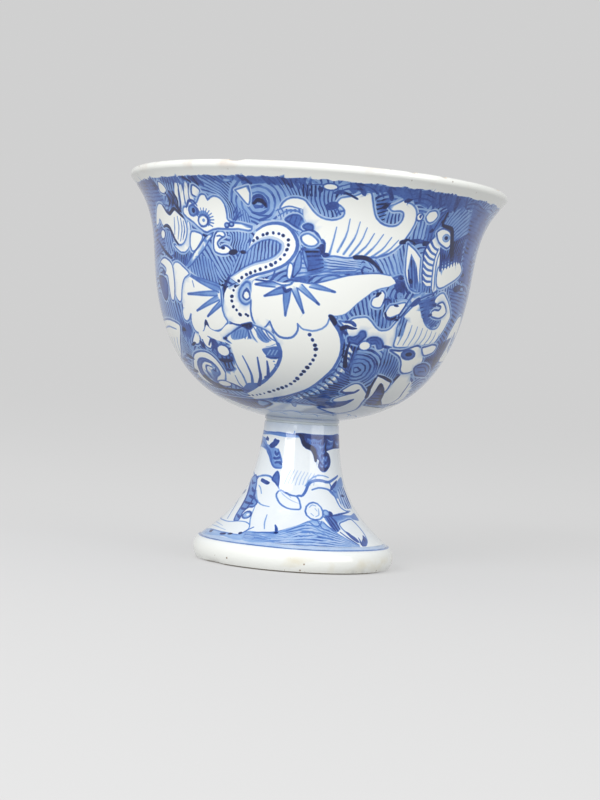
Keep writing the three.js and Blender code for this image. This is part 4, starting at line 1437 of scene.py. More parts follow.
def stem_left_beast():
    lines([
        [(-80, 17.8), (-64, 16.8), (-54, 17.2), (-44, 17.5), (-34, 17.2), (-26, 16.2), (-21, 15)],
    ], 0.5, MID)
    figure([
        (-33, 17), (-31, 18), (-27.6, 18.6), (-24.4, 17.6), (-22.6, 15.6), (-27, 16.2),
    ], 0.4, DEEP, MID, 0)
    blots([(-42.4, 16, 1.6, 0.42, -18), (-64, 16.4, 1.2, 0.7, 20), (-80, 13, 1, 0.6, 0)])
    lines([
        [(-51, 15.2), (-46, 14.6), (-41.4, 13.4)], [(-51, 14), (-43, 11.8), (-36, 10.9), (-26, 10.6)],
    ], 0.36, SOFT)
    mane = [
        (-78, 16), (-66, 17.2), (-58, 16), (-52, 13.6), (-47, 12), (-41.6, 11.2), (-43, 10.2), (-49, 9.8),
        (-52, 8.4), (-49.6, 6.4), (-53, 5.8), (-58, 7.2), (-61, 9.6), (-64, 12), (-70, 14),
    ]
    figure(mane, 0.4, DEEP, SOFT, 0)
    waves = [
        [(-72, 16), (-66, 15.4), (-60, 15.6)], [(-62, 14.4), (-57, 13.8), (-52, 13.6)],
        [(-60, 12.6), (-55, 12.4), (-49, 12)],
    ]
    waves += [
        [(-61, 11), (-55, 10.8), (-46, 10.8)], [(-60, 9.4), (-55, 9.2), (-51, 9.4)],
        [(-57, 7.6), (-53, 7.2), (-50.6, 6.8)],
    ]
    lines(waves, 0.62, DEEP)
    lines([
        [(-74, 15.4), (-66, 13.6), (-61.6, 11), (-59.6, 8.4), (-56, 6.4)],
        [(-53.4, 13.6), (-50, 11.4), (-51.6, 8.4)],
    ], 0.5, DEEP)
    oval((-45, 7.9), 1.15, 0.95, inside=PALE, width=0.5, tone=DEEP)
    oval((-44, 8), 0.4, 0.3, inside=0, width=0)
    lines([
        [(-42, 10.8), (-40, 8), (-37, 6.2), (-34.6, 5)], [(-25, 8.6), (-24.2, 6.6), (-22, 4.8)],
    ], 0.36, SOFT)
    lines([[(-90, 12), (-76, 9.6), (-66, 6)], [(-92, 6), (-78, 5.2), (-64, 4.4)]], 0.4, MID)

# %% [markdown]
# The ground is a low mound of light strokes that follow its curve, as the potter's own lines would.

# %% The mound and the feet on it
def stem_ground():
    low = [(-34, 1.3), (-10, 1.3), (20, 1.3), (46, 1.2)]
    crown = [
        (-35, 3.4), (-20, 3.9), (-3, 5.4), (6, 7), (12, 7.8), (18, 8.1), (24, 7.4), (31, 5.4), (38, 3.4),
        (46, 1.4),
    ]
    ground = [
        crown[:1] + low[:1], [(-15, 4.2), (-12, 1.1)], [(10, 7.7), (10, 1.1)], [(30, 5.6), (27, 1.1)],
        [(47, 1.7), (46, 1)],
    ]
    shore = [(-92, 3.4), (-76, 3), (-62, 3.2), (-46, 3), (-34, 3.4), (-33, 1.3), (-50, 1.2), (-92, 1.2)]
    area(shore, PALE * 1.15)
    area(crown + low[::-1], PALE * 1.15)
    hatch(ground, 0.9, MID * 0.85, PALE * 1.15, 0.3)
    swell = [
        [(-30, 3.1), (-16, 3), (-2, 4), (6, 5.2), (14, 5.9), (20, 5.6)],
        [(-8, 2), (4, 3), (14, 3.9), (24, 4), (30, 3)],
    ]
    swell += [
        [(8, 6.6), (14, 7.2), (20, 6.9), (25, 5.8)], [(-26, 2), (-14, 2.2), (-4, 3), (4, 4.2)],
        [(12, 1.9), (22, 2.6), (34, 2.4)],
    ]
    for strand in swell + [[(-88, 2.1), (-72, 1.8), (-56, 2.1)], [(-60, 1.6), (-48, 1.9), (-36, 1.7)]]:
        over(strand, [0.1, 0.26, 0.1], PALE * 0.7)
    arcs = [
        [(-34, 2.8), (-24, 2.9), (-15, 2.2)], [(-33, 1.7), (-22, 2), (-12, 1.6)],
        [(-6, 4.6), (4, 5.2), (12, 5), (20, 3.4)],
    ]
    lines(arcs + [[(8, 7), (14, 6.6), (20, 5.4), (27, 3)], [(31, 5.2), (38, 3.4), (44, 1.6)]], 0.3, SOFT)
    lines([crown], 0.34, SOFT)
    lines([
        [(12, 7.6), (16, 6.6), (20, 6.8), (23, 8)], [(19, 8), (22, 6), (27, 5.6)],
        [(24, 7.8), (27, 6.6), (31, 5.6)],
    ], 0.4, MID)
    area([
        (26, 9), (34, 9.4), (46, 9.6), (60, 9.4), (72, 9.6), (72, 8.2), (58, 8.4), (46, 8.2), (39, 7.4),
        (36, 5.6), (32, 5.2), (29, 6.8),
    ], SOFT * 1.2)
    lines([
        [(28.6, 8.8), (30.4, 7), (32.4, 5.6)], [(30.4, 9), (33, 7.2), (34.6, 5.6)],
        [(33, 9.2), (36, 7.8), (37, 6)],
    ], 0.6, DEEP)
    lines([[(26, 9), (36, 9.4), (48, 9.9), (60, 10.2)], [(38, 7.2), (46, 8.2), (58, 8.5)]], 0.45, DEEP)
    oval((17.6, 10.3), 1.95, 2.1, tone=MID, width=0.42)
    lines([
        [(13, 11.2), (16, 11.8), (20, 11.6)], [(18, 9), (21.6, 9.6), (22, 11)], [(14, 9.8), (16.4, 9.2)],
        [(18.6, 11), (20.4, 10.4)],
    ], 0.34, PALE * 1.3)
    oval((29, 10), 0.75, 0.7, inside=PALE, width=0.4, tone=MID)
    paw = [
        (39, 7.2), (46, 8), (58, 8.2), (62, 5.6), (60, 3.4), (54, 2.4), (49, 2.2), (47.6, 3.6), (44, 4.6),
        (40.6, 5.6),
    ]
    figure(paw, 0.3, MID)
    area([(41, 5.4), (43.4, 5.2), (46, 4.2), (48.4, 2.7), (47, 2.2), (44.6, 2.8), (42, 4.2)], DEEP)
    area([(48.4, 1.3), (51, 2.4), (55, 3.3), (58.8, 4.2), (59.4, 3), (55, 1.7), (51, 1.1)], DEEP)
    lines([
        [(48.6, 1.6), (50.4, 2.7), (50.8, 3.6)], [(54, 2), (56, 3.4)], [(36, 5.2), (41, 3.4), (46, 1.8)],
    ], 0.45, INK)
    foot = [
        (-92, 5), (-76, 5.4), (-60, 5.4), (-48, 6), (-40, 6), (-35, 5.2), (-34.4, 4), (-38, 2.6),
        (-50, 2.4), (-70, 2.4), (-90, 2.2),
    ]
    figure(foot, 0.28, SOFT * 1.2, halo=0)
    lines([[(-88, 3.2), (-70, 3.4), (-54, 3.1)], [(-90, 4.2), (-74, 4.3), (-62, 4)]], 0.35, PALE)
    lines([[(-31, 5), (-34, 4.2), (-37, 3)], [(-29, 3.5), (-20, 3.9), (-13, 4)]], 0.45, MID)
    line([(-15, 6.2), (-13.2, 5.2), (-12.4, 4)], 0.7, DEEP, (0.4, 1, 0.8))
    blots([
        (-53, 1.9, 1.3, 0.4, 0), (-46, 2.3, 0.8, 0.3, 10), (-38.4, 2.9, 0.6, 0.4, 20),
        (-12.6, 4.1, 0.5, 0.3, 0), (-70, 1.9, 1.2, 0.35, 0),
    ])

# %% [markdown]
# The photograph shows one side only. Such cups carry the same beasts and waves all the way round, so the
# back repeats the front's figures, turned half way round, with more open sea between.

# %% Paint both walls
BOWL_FIGURES = [sea_behind_dragon, sea_in_the_middle, sea_behind_bird, spiral_wave, great_wave, right_waves]
BOWL_FIGURES += [sea_bird, trunk_beast, claw_water, dragon_body, dragon_wings, dragon_fins, dragon_jaw]
BOWL_FIGURES += [dragon_head]
STEM_FIGURES = [stem_sea, stem_curls, stem_left_beast, stem_ground]
SEA_LOW, SEA_HIGH = 13.5, 60

wall = bowl
open_sea(SEA_LOW, SEA_HIGH)
for half_turn in (180, 0):
    for wall, figures in ((bowl, BOWL_FIGURES), (stem, STEM_FIGURES)):
        wall.turned_by = half_turn
        for paint in figures:
            before = len(wall.marks)
            paint()
            print(paint.__name__.replace("_", " "), "at", half_turn, "has", len(wall.marks) - before, "marks")
wall = bowl
lip_band()
bottom_bands()
wall = stem
stem_rings()
print("marks on the bowl", len(bowl.marks), "and on the stem", len(stem.marks))

# %% [markdown]
# The brushed marks become part of the wall's own mesh. Each mark gives its edges to the mesh as lines, the
# surface is cut into triangles along them, and each vertex then gets the tone that the marks leave there.
# So the painting is as sharp as its strokes are, and the wall stays one smooth skin.

# %% Tone of the painting at a spot
MOST_PAIRS = 1500000


def unwound(turned, path):
    """Angles moved by whole turns so that they lie near a path."""
    middle = (path[:, 0].min() + path[:, 0].max()) / 2
    return (turned - middle + 180) % 360 - 180 + middle


def within(path, spots):
    """Which of the spots lie inside a closed path."""
    turned, up = unwound(spots[:, 0], path)[:, None], spots[:, 1][:, None]
    start, end = path, np.roll(path, -1, 0)
    passed = (start[:, 1] > up) != (end[:, 1] > up)
    rise = end[:, 1] - start[:, 1]
    share = (up - start[:, 1]) / np.where(rise == 0, 1e-9, rise)
    right = turned < start[:, 0] + share * (end[:, 0] - start[:, 0])
    return (passed & right).sum(1) % 2 == 1


def depth_in(mark, turned, up, scale):
    """How deep spots lie inside a mark, in millimetres, and less than nought outside it."""
    path = mark["spots"]
    if mark["widths"] is None:
        path = np.vstack([path, path[:1]])
    ax, ay = (path[:-1, 0] - turned[:, None]) * scale[:, None], path[:-1, 1] - up[:, None]
    bx, by = (path[1:, 0] - turned[:, None]) * scale[:, None], path[1:, 1] - up[:, None]
    dx, dy = bx - ax, by - ay
    share = np.clip(-(ax * dx + ay * dy) / np.maximum(dx * dx + dy * dy, 1e-9), 0, 1)
    far = np.hypot(ax + share * dx, ay + share * dy)
    if mark["widths"] is None:
        best = far.min(1)
        return np.where(within(path[:-1], np.stack([turned, up], 1)), best, -best)
    start, end = mark["widths"][:-1], mark["widths"][1:]
    return ((start + share * (end - start)) / 2 - far).max(1)


def tones(wall, spots):
    """The share of cobalt at each spot, once every mark has been brushed."""
    order = np.argsort(spots[:, 1])
    turned, up = spots[order].T
    scale = wall.degree(up)
    cobalt = np.zeros(len(spots))
    for mark in wall.marks:
        path = mark["spots"]
        reach = SOFT_EDGE if mark["widths"] is None else SOFT_EDGE + mark["widths"].max() / 2
        first, last = np.searchsorted(up, [path[:, 1].min() - reach, path[:, 1].max() + reach])
        angles = unwound(turned[first:last], path)
        room = reach / scale[first:last]
        close = (angles > path[:, 0].min() - room) & (angles < path[:, 0].max() + room)
        found = first + np.nonzero(close)[0]
        for some in np.array_split(found, 1 + len(found) * len(path) // MOST_PAIRS):
            depth = depth_in(mark, angles[some - first], up[some], scale[some])
            share = np.clip(depth / SOFT_EDGE + 0.5, 0, 1)
            change = mark["tone"] - cobalt[some]
            if not mark["cover"]:
                change = np.maximum(change, 0)
            cobalt[some] += change * share * share * (3 - 2 * share)
    result = np.zeros(len(spots))
    result[order] = cobalt
    return result

# %% [markdown]
# A brushed edge is soft over a sixth of a millimetre. Each mark gives the mesh two lines, at the full and
# at the empty side of that soft edge. A thin line gives its middle instead of the inner one.

# %% Edges that the marks give to the mesh
FINE_LINE = 0.6


def offset(wall, spots, distances, closed):
    """The path moved to its left by a distance at each of its spots."""
    scale = np.stack([wall.degree(spots[:, 1]), np.ones(len(spots))], 1)
    if closed:
        along = (np.roll(spots, -1, 0) - np.roll(spots, 1, 0)) * scale
    else:
        along = np.gradient(spots, axis=0) * scale
    along /= np.maximum(np.hypot(*along.T), 1e-9)[:, None]
    side = np.stack([-along[:, 1], along[:, 0]], 1)
    return spots + side * np.asarray(distances)[:, None] / scale


def capsule(wall, spots, halves):
    """A closed loop round a line, at a half width that changes along it."""
    scale = np.array([float(wall.degree(spots[0, 1])), 1.0])
    left = offset(wall, spots, halves, False)
    right = offset(wall, spots, -halves, False)[::-1]
    first = (spots[0] - spots[1]) * scale
    last = (spots[-1] - spots[-2]) * scale
    tail = spots[0] + first / max(np.hypot(*first), 1e-9) * halves[0] / scale
    tip = spots[-1] + last / max(np.hypot(*last), 1e-9) * halves[-1] / scale
    loop = np.vstack([left, tip, right, tail])
    return np.vstack([loop, loop[:1]])


def mark_edges(wall, mark):
    """The paths that a mark needs in the mesh."""
    spots, soft = mark["spots"], SOFT_EDGE / 2
    if mark["widths"] is None:
        if not mark["edged"]:
            return []
        if "phase" in mark:
            return [np.vstack([spots, spots[:1]])]
        rims = [offset(wall, spots, np.full(len(spots), far), True) for far in (soft, -soft)]
        return [np.vstack([rim, rim[:1]]) for rim in rims]
    halves = mark["widths"] / 2
    if mark["cover"] and mark["tone"] < PALE:
        return [capsule(wall, spots, halves)]
    if halves.max() * 2 < FINE_LINE:
        return [capsule(wall, spots, halves + soft), spots]
    return [capsule(wall, spots, halves + soft), capsule(wall, spots, np.maximum(halves - soft, 0.03))]

# %% [markdown]
# The wall is unrolled flat and cut at the back. Delaunay triangles between the lines fill it evenly. Where
# a white figure covers a mark, the mark's hidden lines are left out, which keeps the mesh small.

# %% The painted skin as triangles
COLUMN = 2.5
ROW = 1.25
MARGIN = 0.12
WELD = 1e-3


class Sheet:
    """The unrolled wall, with the points and lines that its triangles must keep."""

    def __init__(self, wall, low, high):
        self.wall, self.low, self.high = wall, low, high
        self.points, self.lines = [], []
        self.seam = list(np.linspace(low, high, 1 + round((high - low) / ROW)))
        covers = [(i, m["spots"]) for i, m in enumerate(wall.marks) if m["cover"] and m["widths"] is None]
        self.covers = [(i, path, path.min(0), path.max(0)) for i, path in covers]

    def add(self, turned, up):
        self.points.append((turned, up))
        return len(self.points) - 1

    def seen(self, path, number):
        """Which spots of a mark's edge no later cover hides, with the spots beside them."""
        bare = np.ones(len(path), bool)
        low, high = path.min(0), path.max(0)
        for other, area, area_low, area_high in self.covers:
            if other <= number or area_low[1] > high[1] or area_high[1] < low[1]:
                continue
            gap = (low[0] + high[0] - area_low[0] - area_high[0]) / 2
            gap = abs((gap + 180) % 360 - 180)
            if gap < (high[0] - low[0] + area_high[0] - area_low[0]) / 2:
                bare &= ~within(area, path)
        near = bare.copy()
        near[1:] |= bare[:-1]
        near[:-1] |= bare[1:]
        return near

    def lay(self, path, number):
        """Adds a path where it can be seen, cut where it crosses the seam at the back."""
        near = self.seen(path, number)
        last, before = None, None
        for seen, (turned, up) in zip(near, path):
            up = min(max(up, self.low + MARGIN), self.high - MARGIN)
            if not seen:
                last = None
                continue
            lap = math.floor((turned + 180) / 360)
            if last is not None and lap != before[2]:
                edge = 360 * max(lap, before[2]) - 180
                share = (edge - before[0]) / (turned - before[0])
                cross = before[1] + share * (up - before[1])
                self.seam.append(cross)
                side = 180 if lap > before[2] else -180
                self.lines.append((last, self.add(side, cross)))
                last = self.add(-side, cross)
            spot = self.add(turned - 360 * lap, up)
            if last is not None:
                self.lines.append((last, spot))
            last, before = spot, (turned, up, lap)

    def triangles(self):
        """Spots and triangles of the sheet."""
        for number, mark in enumerate(self.wall.marks):
            for path in mark_edges(self.wall, mark):
                self.lay(path, number)
        rows = np.linspace(self.low, self.high, 1 + round((self.high - self.low) / ROW))
        for up in rows[[0, -1]]:
            for turned in np.arange(-180, 180.1, COLUMN):
                self.add(turned, up)
        for number, up in enumerate(rows[1:-1]):
            for turned in np.arange(-180 + COLUMN / (1 + number % 2), 179, COLUMN):
                self.add(turned, up)
        heights = sorted(set(round(float(up), 6) for up in self.seam))
        for side in (-180, 180):
            ends = [self.add(side, up) for up in heights]
            self.lines += list(zip(ends, ends[1:]))
        flat = [Vector((turned * DEGREE_WIDTH, up)) for turned, up in self.points]
        corners, _, faces, *_ = delaunay_2d_cdt(flat, self.lines, [], 0, WELD)
        spots = np.array([(corner.x / DEGREE_WIDTH, corner.y) for corner in corners])
        return spots, faces


print("skin points lie", COLUMN, "degrees apart at most")

# %% [markdown]
# Each triangle belongs to the last cover mark that lies over it. If that mark is a patch of fine lines, the
# triangle's corners get the patch's count, and elsewhere they get nought, so that no line is drawn there.

# %% Counts of the fine lines
def line_counts(wall, spots, faces):
    """For each triangle's corners, the count of fine lines there, and the tone of those lines."""
    faces = np.array(faces)
    middles = spots[faces].mean(1)
    owner = np.full(len(faces), -1)
    for number, mark in enumerate(wall.marks):
        if mark["cover"]:
            path = mark["spots"]
            low, high = path.min(0), path.max(0)
            reach = 0 if mark["widths"] is None else mark["widths"].max()
            close = (middles[:, 1] > low[1] - reach) & (middles[:, 1] < high[1] + reach)
            angles = unwound(middles[:, 0], path)
            close &= (angles > low[0] - 3 * reach) & (angles < high[0] + 3 * reach)
            found = np.nonzero(close)[0]
            if mark["widths"] is None:
                owner[found[within(path, middles[found])]] = number
            elif len(found):
                up = middles[found, 1]
                inside = depth_in(mark, angles[found], up, wall.degree(up)) > 0
                owner[found[inside]] = number
    counts, lines = np.zeros(faces.shape), np.zeros(faces.shape)
    for number in np.unique(owner[owner >= 0]):
        mark = wall.marks[number]
        if "phase" in mark:
            mine = np.nonzero(owner == number)[0]
            corners = spots[faces[mine].ravel()].copy()
            middle = unwound(middles[mine, 0], mark["spots"]).repeat(3)
            corners[:, 0] += 360 * np.round((middle - corners[:, 0]) / 360)
            counts[mine] = mark["phase"](corners).reshape(-1, 3)
            lines[mine] = mark["lines"]
    return counts, lines

# %% [markdown]
# The rest of each piece, which is the lip, the inside, the seat and the foot ring, is plain turned clay.
# There a profile is spun round the axis, as the wheel does it. The painted skin is then joined on, its edge
# points lying on the spun ones, so each piece is one closed shell of clay.

# %% Clay round the painted skin
TURN_STEPS = round(360 / COLUMN)


def resampled(points, step):
    """The outline at even steps, ends included."""
    along = lengths(points)
    count = max(2, 1 + round(along[-1] / step))
    even = np.linspace(0, along[-1], count)
    return np.stack([np.interp(even, along, points[:, axis]) for axis in (0, 1)], 1)


def spun(outlines):
    """Outlines in millimetres, spun round the axis from the back, as mesh data."""
    mesh = bmesh.new()
    for outline in outlines:
        corners = [mesh.verts.new((0, out / 1000, height / 1000)) for out, height in outline]
        edges = [mesh.edges.new(pair) for pair in zip(corners, corners[1:])]
        bmesh.ops.spin(
            mesh,
            geom=corners + edges,
            cent=(0, 0, 0),
            axis=(0, 0, 1),
            angle=2 * math.pi,
            steps=TURN_STEPS,
            use_merge=True,
        )
    data = bpy.data.meshes.new("spun")
    mesh.to_mesh(data)
    mesh.free()
    return data


print("steps round the axis", TURN_STEPS)

# %% [markdown]
# The skin's vertices carry the share of cobalt, and the corners of its faces carry the count and the tone
# of the fine lines. Its shading follows the true turned wall, not the small triangles, so that the glaze
# shines evenly.

# %% Join the skin and the clay
MEETING = 2e-6
SHARP_TURN = math.radians(38)


def lay_skin(mesh, wall, low, high):
    """Adds the painted skin between two heights up the wall."""
    spots, faces = Sheet(wall, low, high).triangles()
    cobalt = mesh.verts.layers.float.new("cobalt")
    aim = mesh.verts.layers.float_vector.new("aim")
    skin = mesh.faces.layers.int.new("skin")
    count = mesh.loops.layers.float.new("line_count")
    line_tone = mesh.loops.layers.float.new("line_tone")
    corners = []
    for place, facing, tone in zip(wall.points(spots), wall.normals(spots), tones(wall, spots)):
        corner = mesh.verts.new(place)
        corner[cobalt] = tone
        corner[aim] = facing
        corners.append(corner)
    for face, counts, lines in zip(faces, *line_counts(wall, spots, faces)):
        made = mesh.faces.new([corners[i] for i in face])
        made[skin] = 1
        for loop, value, tone in zip(made.loops, counts, lines):
            loop[count] = value
            loop[line_tone] = tone
    return len(faces)


def aim_normals(data):
    """Gives the skin the directions of the true turned wall."""
    facing = np.zeros(3 * len(data.vertices), np.float32)
    data.attributes["aim"].data.foreach_get("vector", facing)
    corners = np.zeros(len(data.loops), np.int32)
    data.loops.foreach_get("vertex_index", corners)
    painted = np.zeros(len(data.polygons), np.int32)
    data.attributes["skin"].data.foreach_get("value", painted)
    counts = np.zeros(len(data.polygons), np.int32)
    data.polygons.foreach_get("loop_total", counts)
    normals = facing.reshape(-1, 3)[corners] * np.repeat(painted, counts)[:, None]
    for name in ("aim", "skin"):
        data.attributes.remove(data.attributes[name])
    data.normals_split_custom_set(normals.tolist())


def finished(name, mesh):
    """Turns the drawn shell into an object, smooth but for its sharp corners."""
    loose = [edge for edge in mesh.edges if not edge.is_manifold]
    for edge in mesh.edges:
        if edge.is_manifold and edge.calc_face_angle(0) > SHARP_TURN:
            edge.smooth = False
    data = bpy.data.meshes.new(name)
    mesh.to_mesh(data)
    mesh.free()
    data.polygons.foreach_set("use_smooth", [True] * len(data.polygons))
    if "aim" in data.attributes:
        aim_normals(data)
    piece = bpy.data.objects.new(name, data)
    bpy.context.scene.collection.objects.link(piece)
    print(name, "has", len(data.polygons), "faces and", len(loose), "open edges")
    return piece


def clay_piece(name, wall, low, high, rest, wear):
    """One closed piece: the painted skin of a wall, and the spun rest of it. wear then damages it."""
    mesh = bmesh.new()
    skin = lay_skin(mesh, wall, low, high)
    mesh.from_mesh(spun(rest))
    rims = [corner for corner in mesh.verts if corner.is_boundary]
    bmesh.ops.remove_doubles(mesh, verts=rims, dist=MEETING)
    gaps = [edge for edge in mesh.edges if edge.is_boundary]
    slivers = bmesh.ops.holes_fill(mesh, edges=gaps, sides=3)["faces"]
    thin = list({edge for face in slivers for edge in face.edges})
    bmesh.ops.dissolve_degenerate(mesh, edges=thin, dist=MEETING)
    bmesh.ops.recalc_face_normals(mesh, faces=mesh.faces)
    wear(mesh)
    print(name, "skin triangles", skin)
    return finished(name, mesh)

# %% [markdown]
# The lip has a few small chips, where the glaze and a flake of clay broke off. Only the spun faces at each
# chip are divided finely, and their points are pushed down into a shallow scoop. Clay without glaze is a
# second material, so the faces of a scoop are given that one.

# %% Chips in the lip
CREST_RADIUS = 39.29
CREST_HEIGHT = 81.19
SPUN_FROM = 79.8
CHIPS = [(-24.4, 3.4, 0.5), (26.8, 1.5, 0.3), (37.7, 1.7, 0.34), (66.8, 2.2, 0.34), (158, 1.6, 0.3)]
CHIP_TILT = 0.25
CHIP_ROUGHNESS = 0.07


def chip_spot(place, turned):
    """Where a place lies from a chip's middle, as millimetres along the lip and across it."""
    side = math.degrees(math.atan2(place.x, -place.y)) - turned
    side = (side + 180) % 360 - 180
    return math.radians(side) * CREST_RADIUS, 1000 * math.hypot(place.x, place.y) - CREST_RADIUS


def chip_lip(mesh):
    """Breaks the chips out of the lip. Each is an angle, a width and a depth."""
    for turned, wide, deep in CHIPS:
        near = []
        for edge in mesh.edges:
            ends = [corner.co for corner in edge.verts]
            beside_chip = min(abs(chip_spot(end, turned)[0]) for end in ends) < wide
            if beside_chip and min(end.z for end in ends) * 1000 > SPUN_FROM:
                near.append(edge)
        bmesh.ops.subdivide_edges(mesh, edges=near, cuts=4, use_grid_fill=True)
        broken = set()
        for corner in mesh.verts:
            along, across = chip_spot(corner.co, turned)
            share = 1 - (2 * along / wide) ** 2
            if corner.co.z * 1000 > SPUN_FROM and share > 0:
                scoop = deep * share**0.6 * (1.05 - CHIP_TILT * across)
                bite = scoop + CHIP_ROUGHNESS * math.sin(9 * along) * share
                if corner.co.z * 1000 > CREST_HEIGHT - bite:
                    corner.co.z = (CREST_HEIGHT - bite) / 1000
                    broken.update(corner.link_faces)
        for face in broken:
            face.material_index = 1
        print("chip at", turned, "degrees has", len(broken), "faces")

# %% [markdown]
# The bowl is one closed shell: the painted wall, a lip rounded over, the plain inside, and the small seat
# that was turned under it to centre it on the stem.

# %% The bowl
WALL_TOP = float(lengths(bowl_wall)[-1])
INSIDE_STEP = 1.4
lip_middle = np.array(LIP) + LIP_THICKNESS / 2 * np.array(heading(LIP_FLARE + 90))
lip_round = elbow(lip_middle, LIP_THICKNESS / 2, LIP_THICKNESS / 2, LIP_FLARE - 90, LIP_FLARE + 90, 11)
inner_side = beside(bowl_side, WALL_THICKNESS, LIP_THICKNESS)
inner_under = beside(bowl_under, BASE_THICKNESS, WALL_THICKNESS)
inside = resampled(joined(inner_side[::-1], inner_under[::-1]), INSIDE_STEP)
well = np.array([inner_under[0], (0, inner_under[0][1])])
lip_and_inside = joined(lip_round, inside, well)
seat = np.array([(0, BOWL_SEAT), (NECK_RADIUS / 2, BOWL_SEAT), (NECK_RADIUS, BOWL_SEAT), neck_edge])
bowl_piece = clay_piece("painted_bowl", bowl, 0.0, WALL_TOP, [lip_and_inside, seat], chip_lip)

# %% [markdown]
# The stem is hollow, as the potter threw it. Its hollow follows the flare at an even wall, and keeps the
# soft ridges that the potter's finger left. The foot ring stands on the table and is bare of glaze, and at
# one place a flat flake is gone from the edge above it.

# %% The stem and its foot
FLAKE_TURNED, FLAKE_WIDE, FLAKE_DEEP = -52.0, 5.0, 0.55
FLAKE_TOP = 1.5
FLAKE_REACH = 0.3
RING_TOP = 0.0004


def bare_ring(mesh):
    """Wears a flat flake off the foot's edge, and leaves the clay bare there and on the ring."""
    for corner in mesh.verts:
        side = math.degrees(math.atan2(corner.co.x, -corner.co.y)) - FLAKE_TURNED
        share = 1 - (2 * math.radians(side) * FLARE_END[0] / FLAKE_WIDE) ** 2
        height = 1000 * corner.co.z
        out = 1000 * math.hypot(corner.co.x, corner.co.y)
        if share > 0 and height < FLAKE_TOP and out > ring_out - FLAKE_REACH:
            lost = FLAKE_DEEP * share**0.5 * (1 - height / FLAKE_TOP)
            corner.co.xy *= (out - lost) / out
    for face in mesh.faces:
        if max(corner.co.z for corner in face.verts) < RING_TOP:
            face.material_index = 1


THROWING_RIDGE = 0.12
RIDGE_PITCH = 3.4
HOLLOW_STEP = 0.6
EDGE_LENGTH = float(lengths(foot_edge)[-1])
flare_length = float(lengths(stem_flare)[-1])
ridges = STEM_WALL + THROWING_RIDGE * np.sin(2 * math.pi * stem_flare[:, 1] / RIDGE_PITCH)
hollow = stem_flare + left_sides(stem_flare) * ridges[:, None]
hollow = hollow[hollow[:, 1] < STEM_HEIGHT - 0.05]
hollow = np.vstack([hollow, [(NECK_RADIUS - STEM_WALL, STEM_HEIGHT)]])
ring_out = FLARE_END[0] - FOOT_CHAMFER / 2
ring_in = ring_out - FOOT_RING_WIDTH
hollow = hollow[(hollow[:, 0] < ring_in) & (hollow[:, 1] > FOOT_CHAMFER)]
stem_top = np.array([neck_top, hollow[-1]])
foot_ring = np.array([(ring_in, FOOT_CHAMFER), (ring_in, 0), (ring_out, 0), tuple(foot_edge[0])])
down_the_hollow = np.vstack([resampled(hollow[::-1], HOLLOW_STEP), foot_ring])
under_stem = joined(stem_top, down_the_hollow)
stem_piece = clay_piece("painted_stem", stem, -EDGE_LENGTH, flare_length, [under_stem], bare_ring)

# %% [markdown]
# A ring of liquid clay bonds the two. It was wiped with a finger, so its face lies a little under theirs.

# %% The luting ring
LUTE_BORE = 5.0
LUTE_WAIST = 7.75
LUTE_HALF = (BOWL_SEAT - STEM_HEIGHT) / 2

swell = elbow((NECK_RADIUS, STEM_HEIGHT + LUTE_HALF), LUTE_WAIST - NECK_RADIUS, LUTE_HALF, 90, -90, 9)
outline = [(LUTE_BORE, BOWL_SEAT)] + [tuple(point) for point in swell] + [(LUTE_BORE, STEM_HEIGHT)]
outline.append(outline[0])
mesh = bmesh.new()
mesh.from_mesh(spun([outline]))
bmesh.ops.remove_doubles(mesh, verts=mesh.verts, dist=MEETING)
bmesh.ops.recalc_face_normals(mesh, faces=mesh.faces)
lute_piece = finished("slip_ring", mesh)

# %% [markdown]
# Each look is a chain of shader nodes. A few short helpers make a node, set its sockets or link other nodes
# to them, and hand on its result, so that every effect below reads as a list of steps.

# %% Helpers for shader nodes
def fill(socket, value):
    """Sets a socket to a number or a colour, or links another node's socket to it."""
    if isinstance(value, bpy.types.NodeSocket):
        socket.id_data.links.new(value, socket)
    else:
        socket.default_value = value


def fill_all(node, values):
    for label, value in values.items():
        fill(node.inputs[label], value)
    return node.outputs


def add_node(nodes, kind, values):
    return fill_all(nodes.new(kind), values)


def sum_node(nodes, operation, *values):
    """The result of a math node."""
    node = nodes.new("ShaderNodeMath")
    node.operation = operation
    for socket, value in zip(node.inputs, values):
        fill(socket, value)
    return node.outputs[0]


def place_node(nodes):
    """Places on the object, in metres from its origin."""
    return nodes.new("ShaderNodeTexCoord").outputs["Object"]


def noise_node(nodes, scale, detail):
    values = {"Vector": place_node(nodes), "Scale": scale, "Detail": detail}
    return add_node(nodes, "ShaderNodeTexNoise", values)["Fac"]


def clamp_node(nodes, value):
    return add_node(nodes, "ShaderNodeClamp", {"Value": value})["Result"]


def height_band(nodes, low, high, soft_low, soft_high):
    """One between two heights in metres, and nought elsewhere, with a soft change at each."""
    height = add_node(nodes, "ShaderNodeSeparateXYZ", {"Vector": place_node(nodes)})["Z"]
    edges = []
    for start, end in ((low - soft_low, low + soft_low), (high + soft_high, high - soft_high)):
        values = {"Value": height, "From Min": start, "From Max": end}
        edges.append(add_node(nodes, "ShaderNodeMapRange", values)["Result"])
    return sum_node(nodes, "MULTIPLY", *edges)


def new_group(name, inputs, outputs):
    """An empty shader group with named numbers going in and named colours or values coming out."""
    group = bpy.data.node_groups.new(name, "ShaderNodeTree")
    for label, value in inputs.items():
        socket = group.interface.new_socket(label, in_out="INPUT", socket_type="NodeSocketFloat")
        socket.default_value = value
    for label, kind in outputs.items():
        group.interface.new_socket(label, in_out="OUTPUT", socket_type=kind)
    nodes = group.nodes
    return group, nodes, nodes.new("NodeGroupInput").outputs, nodes.new("NodeGroupOutput")

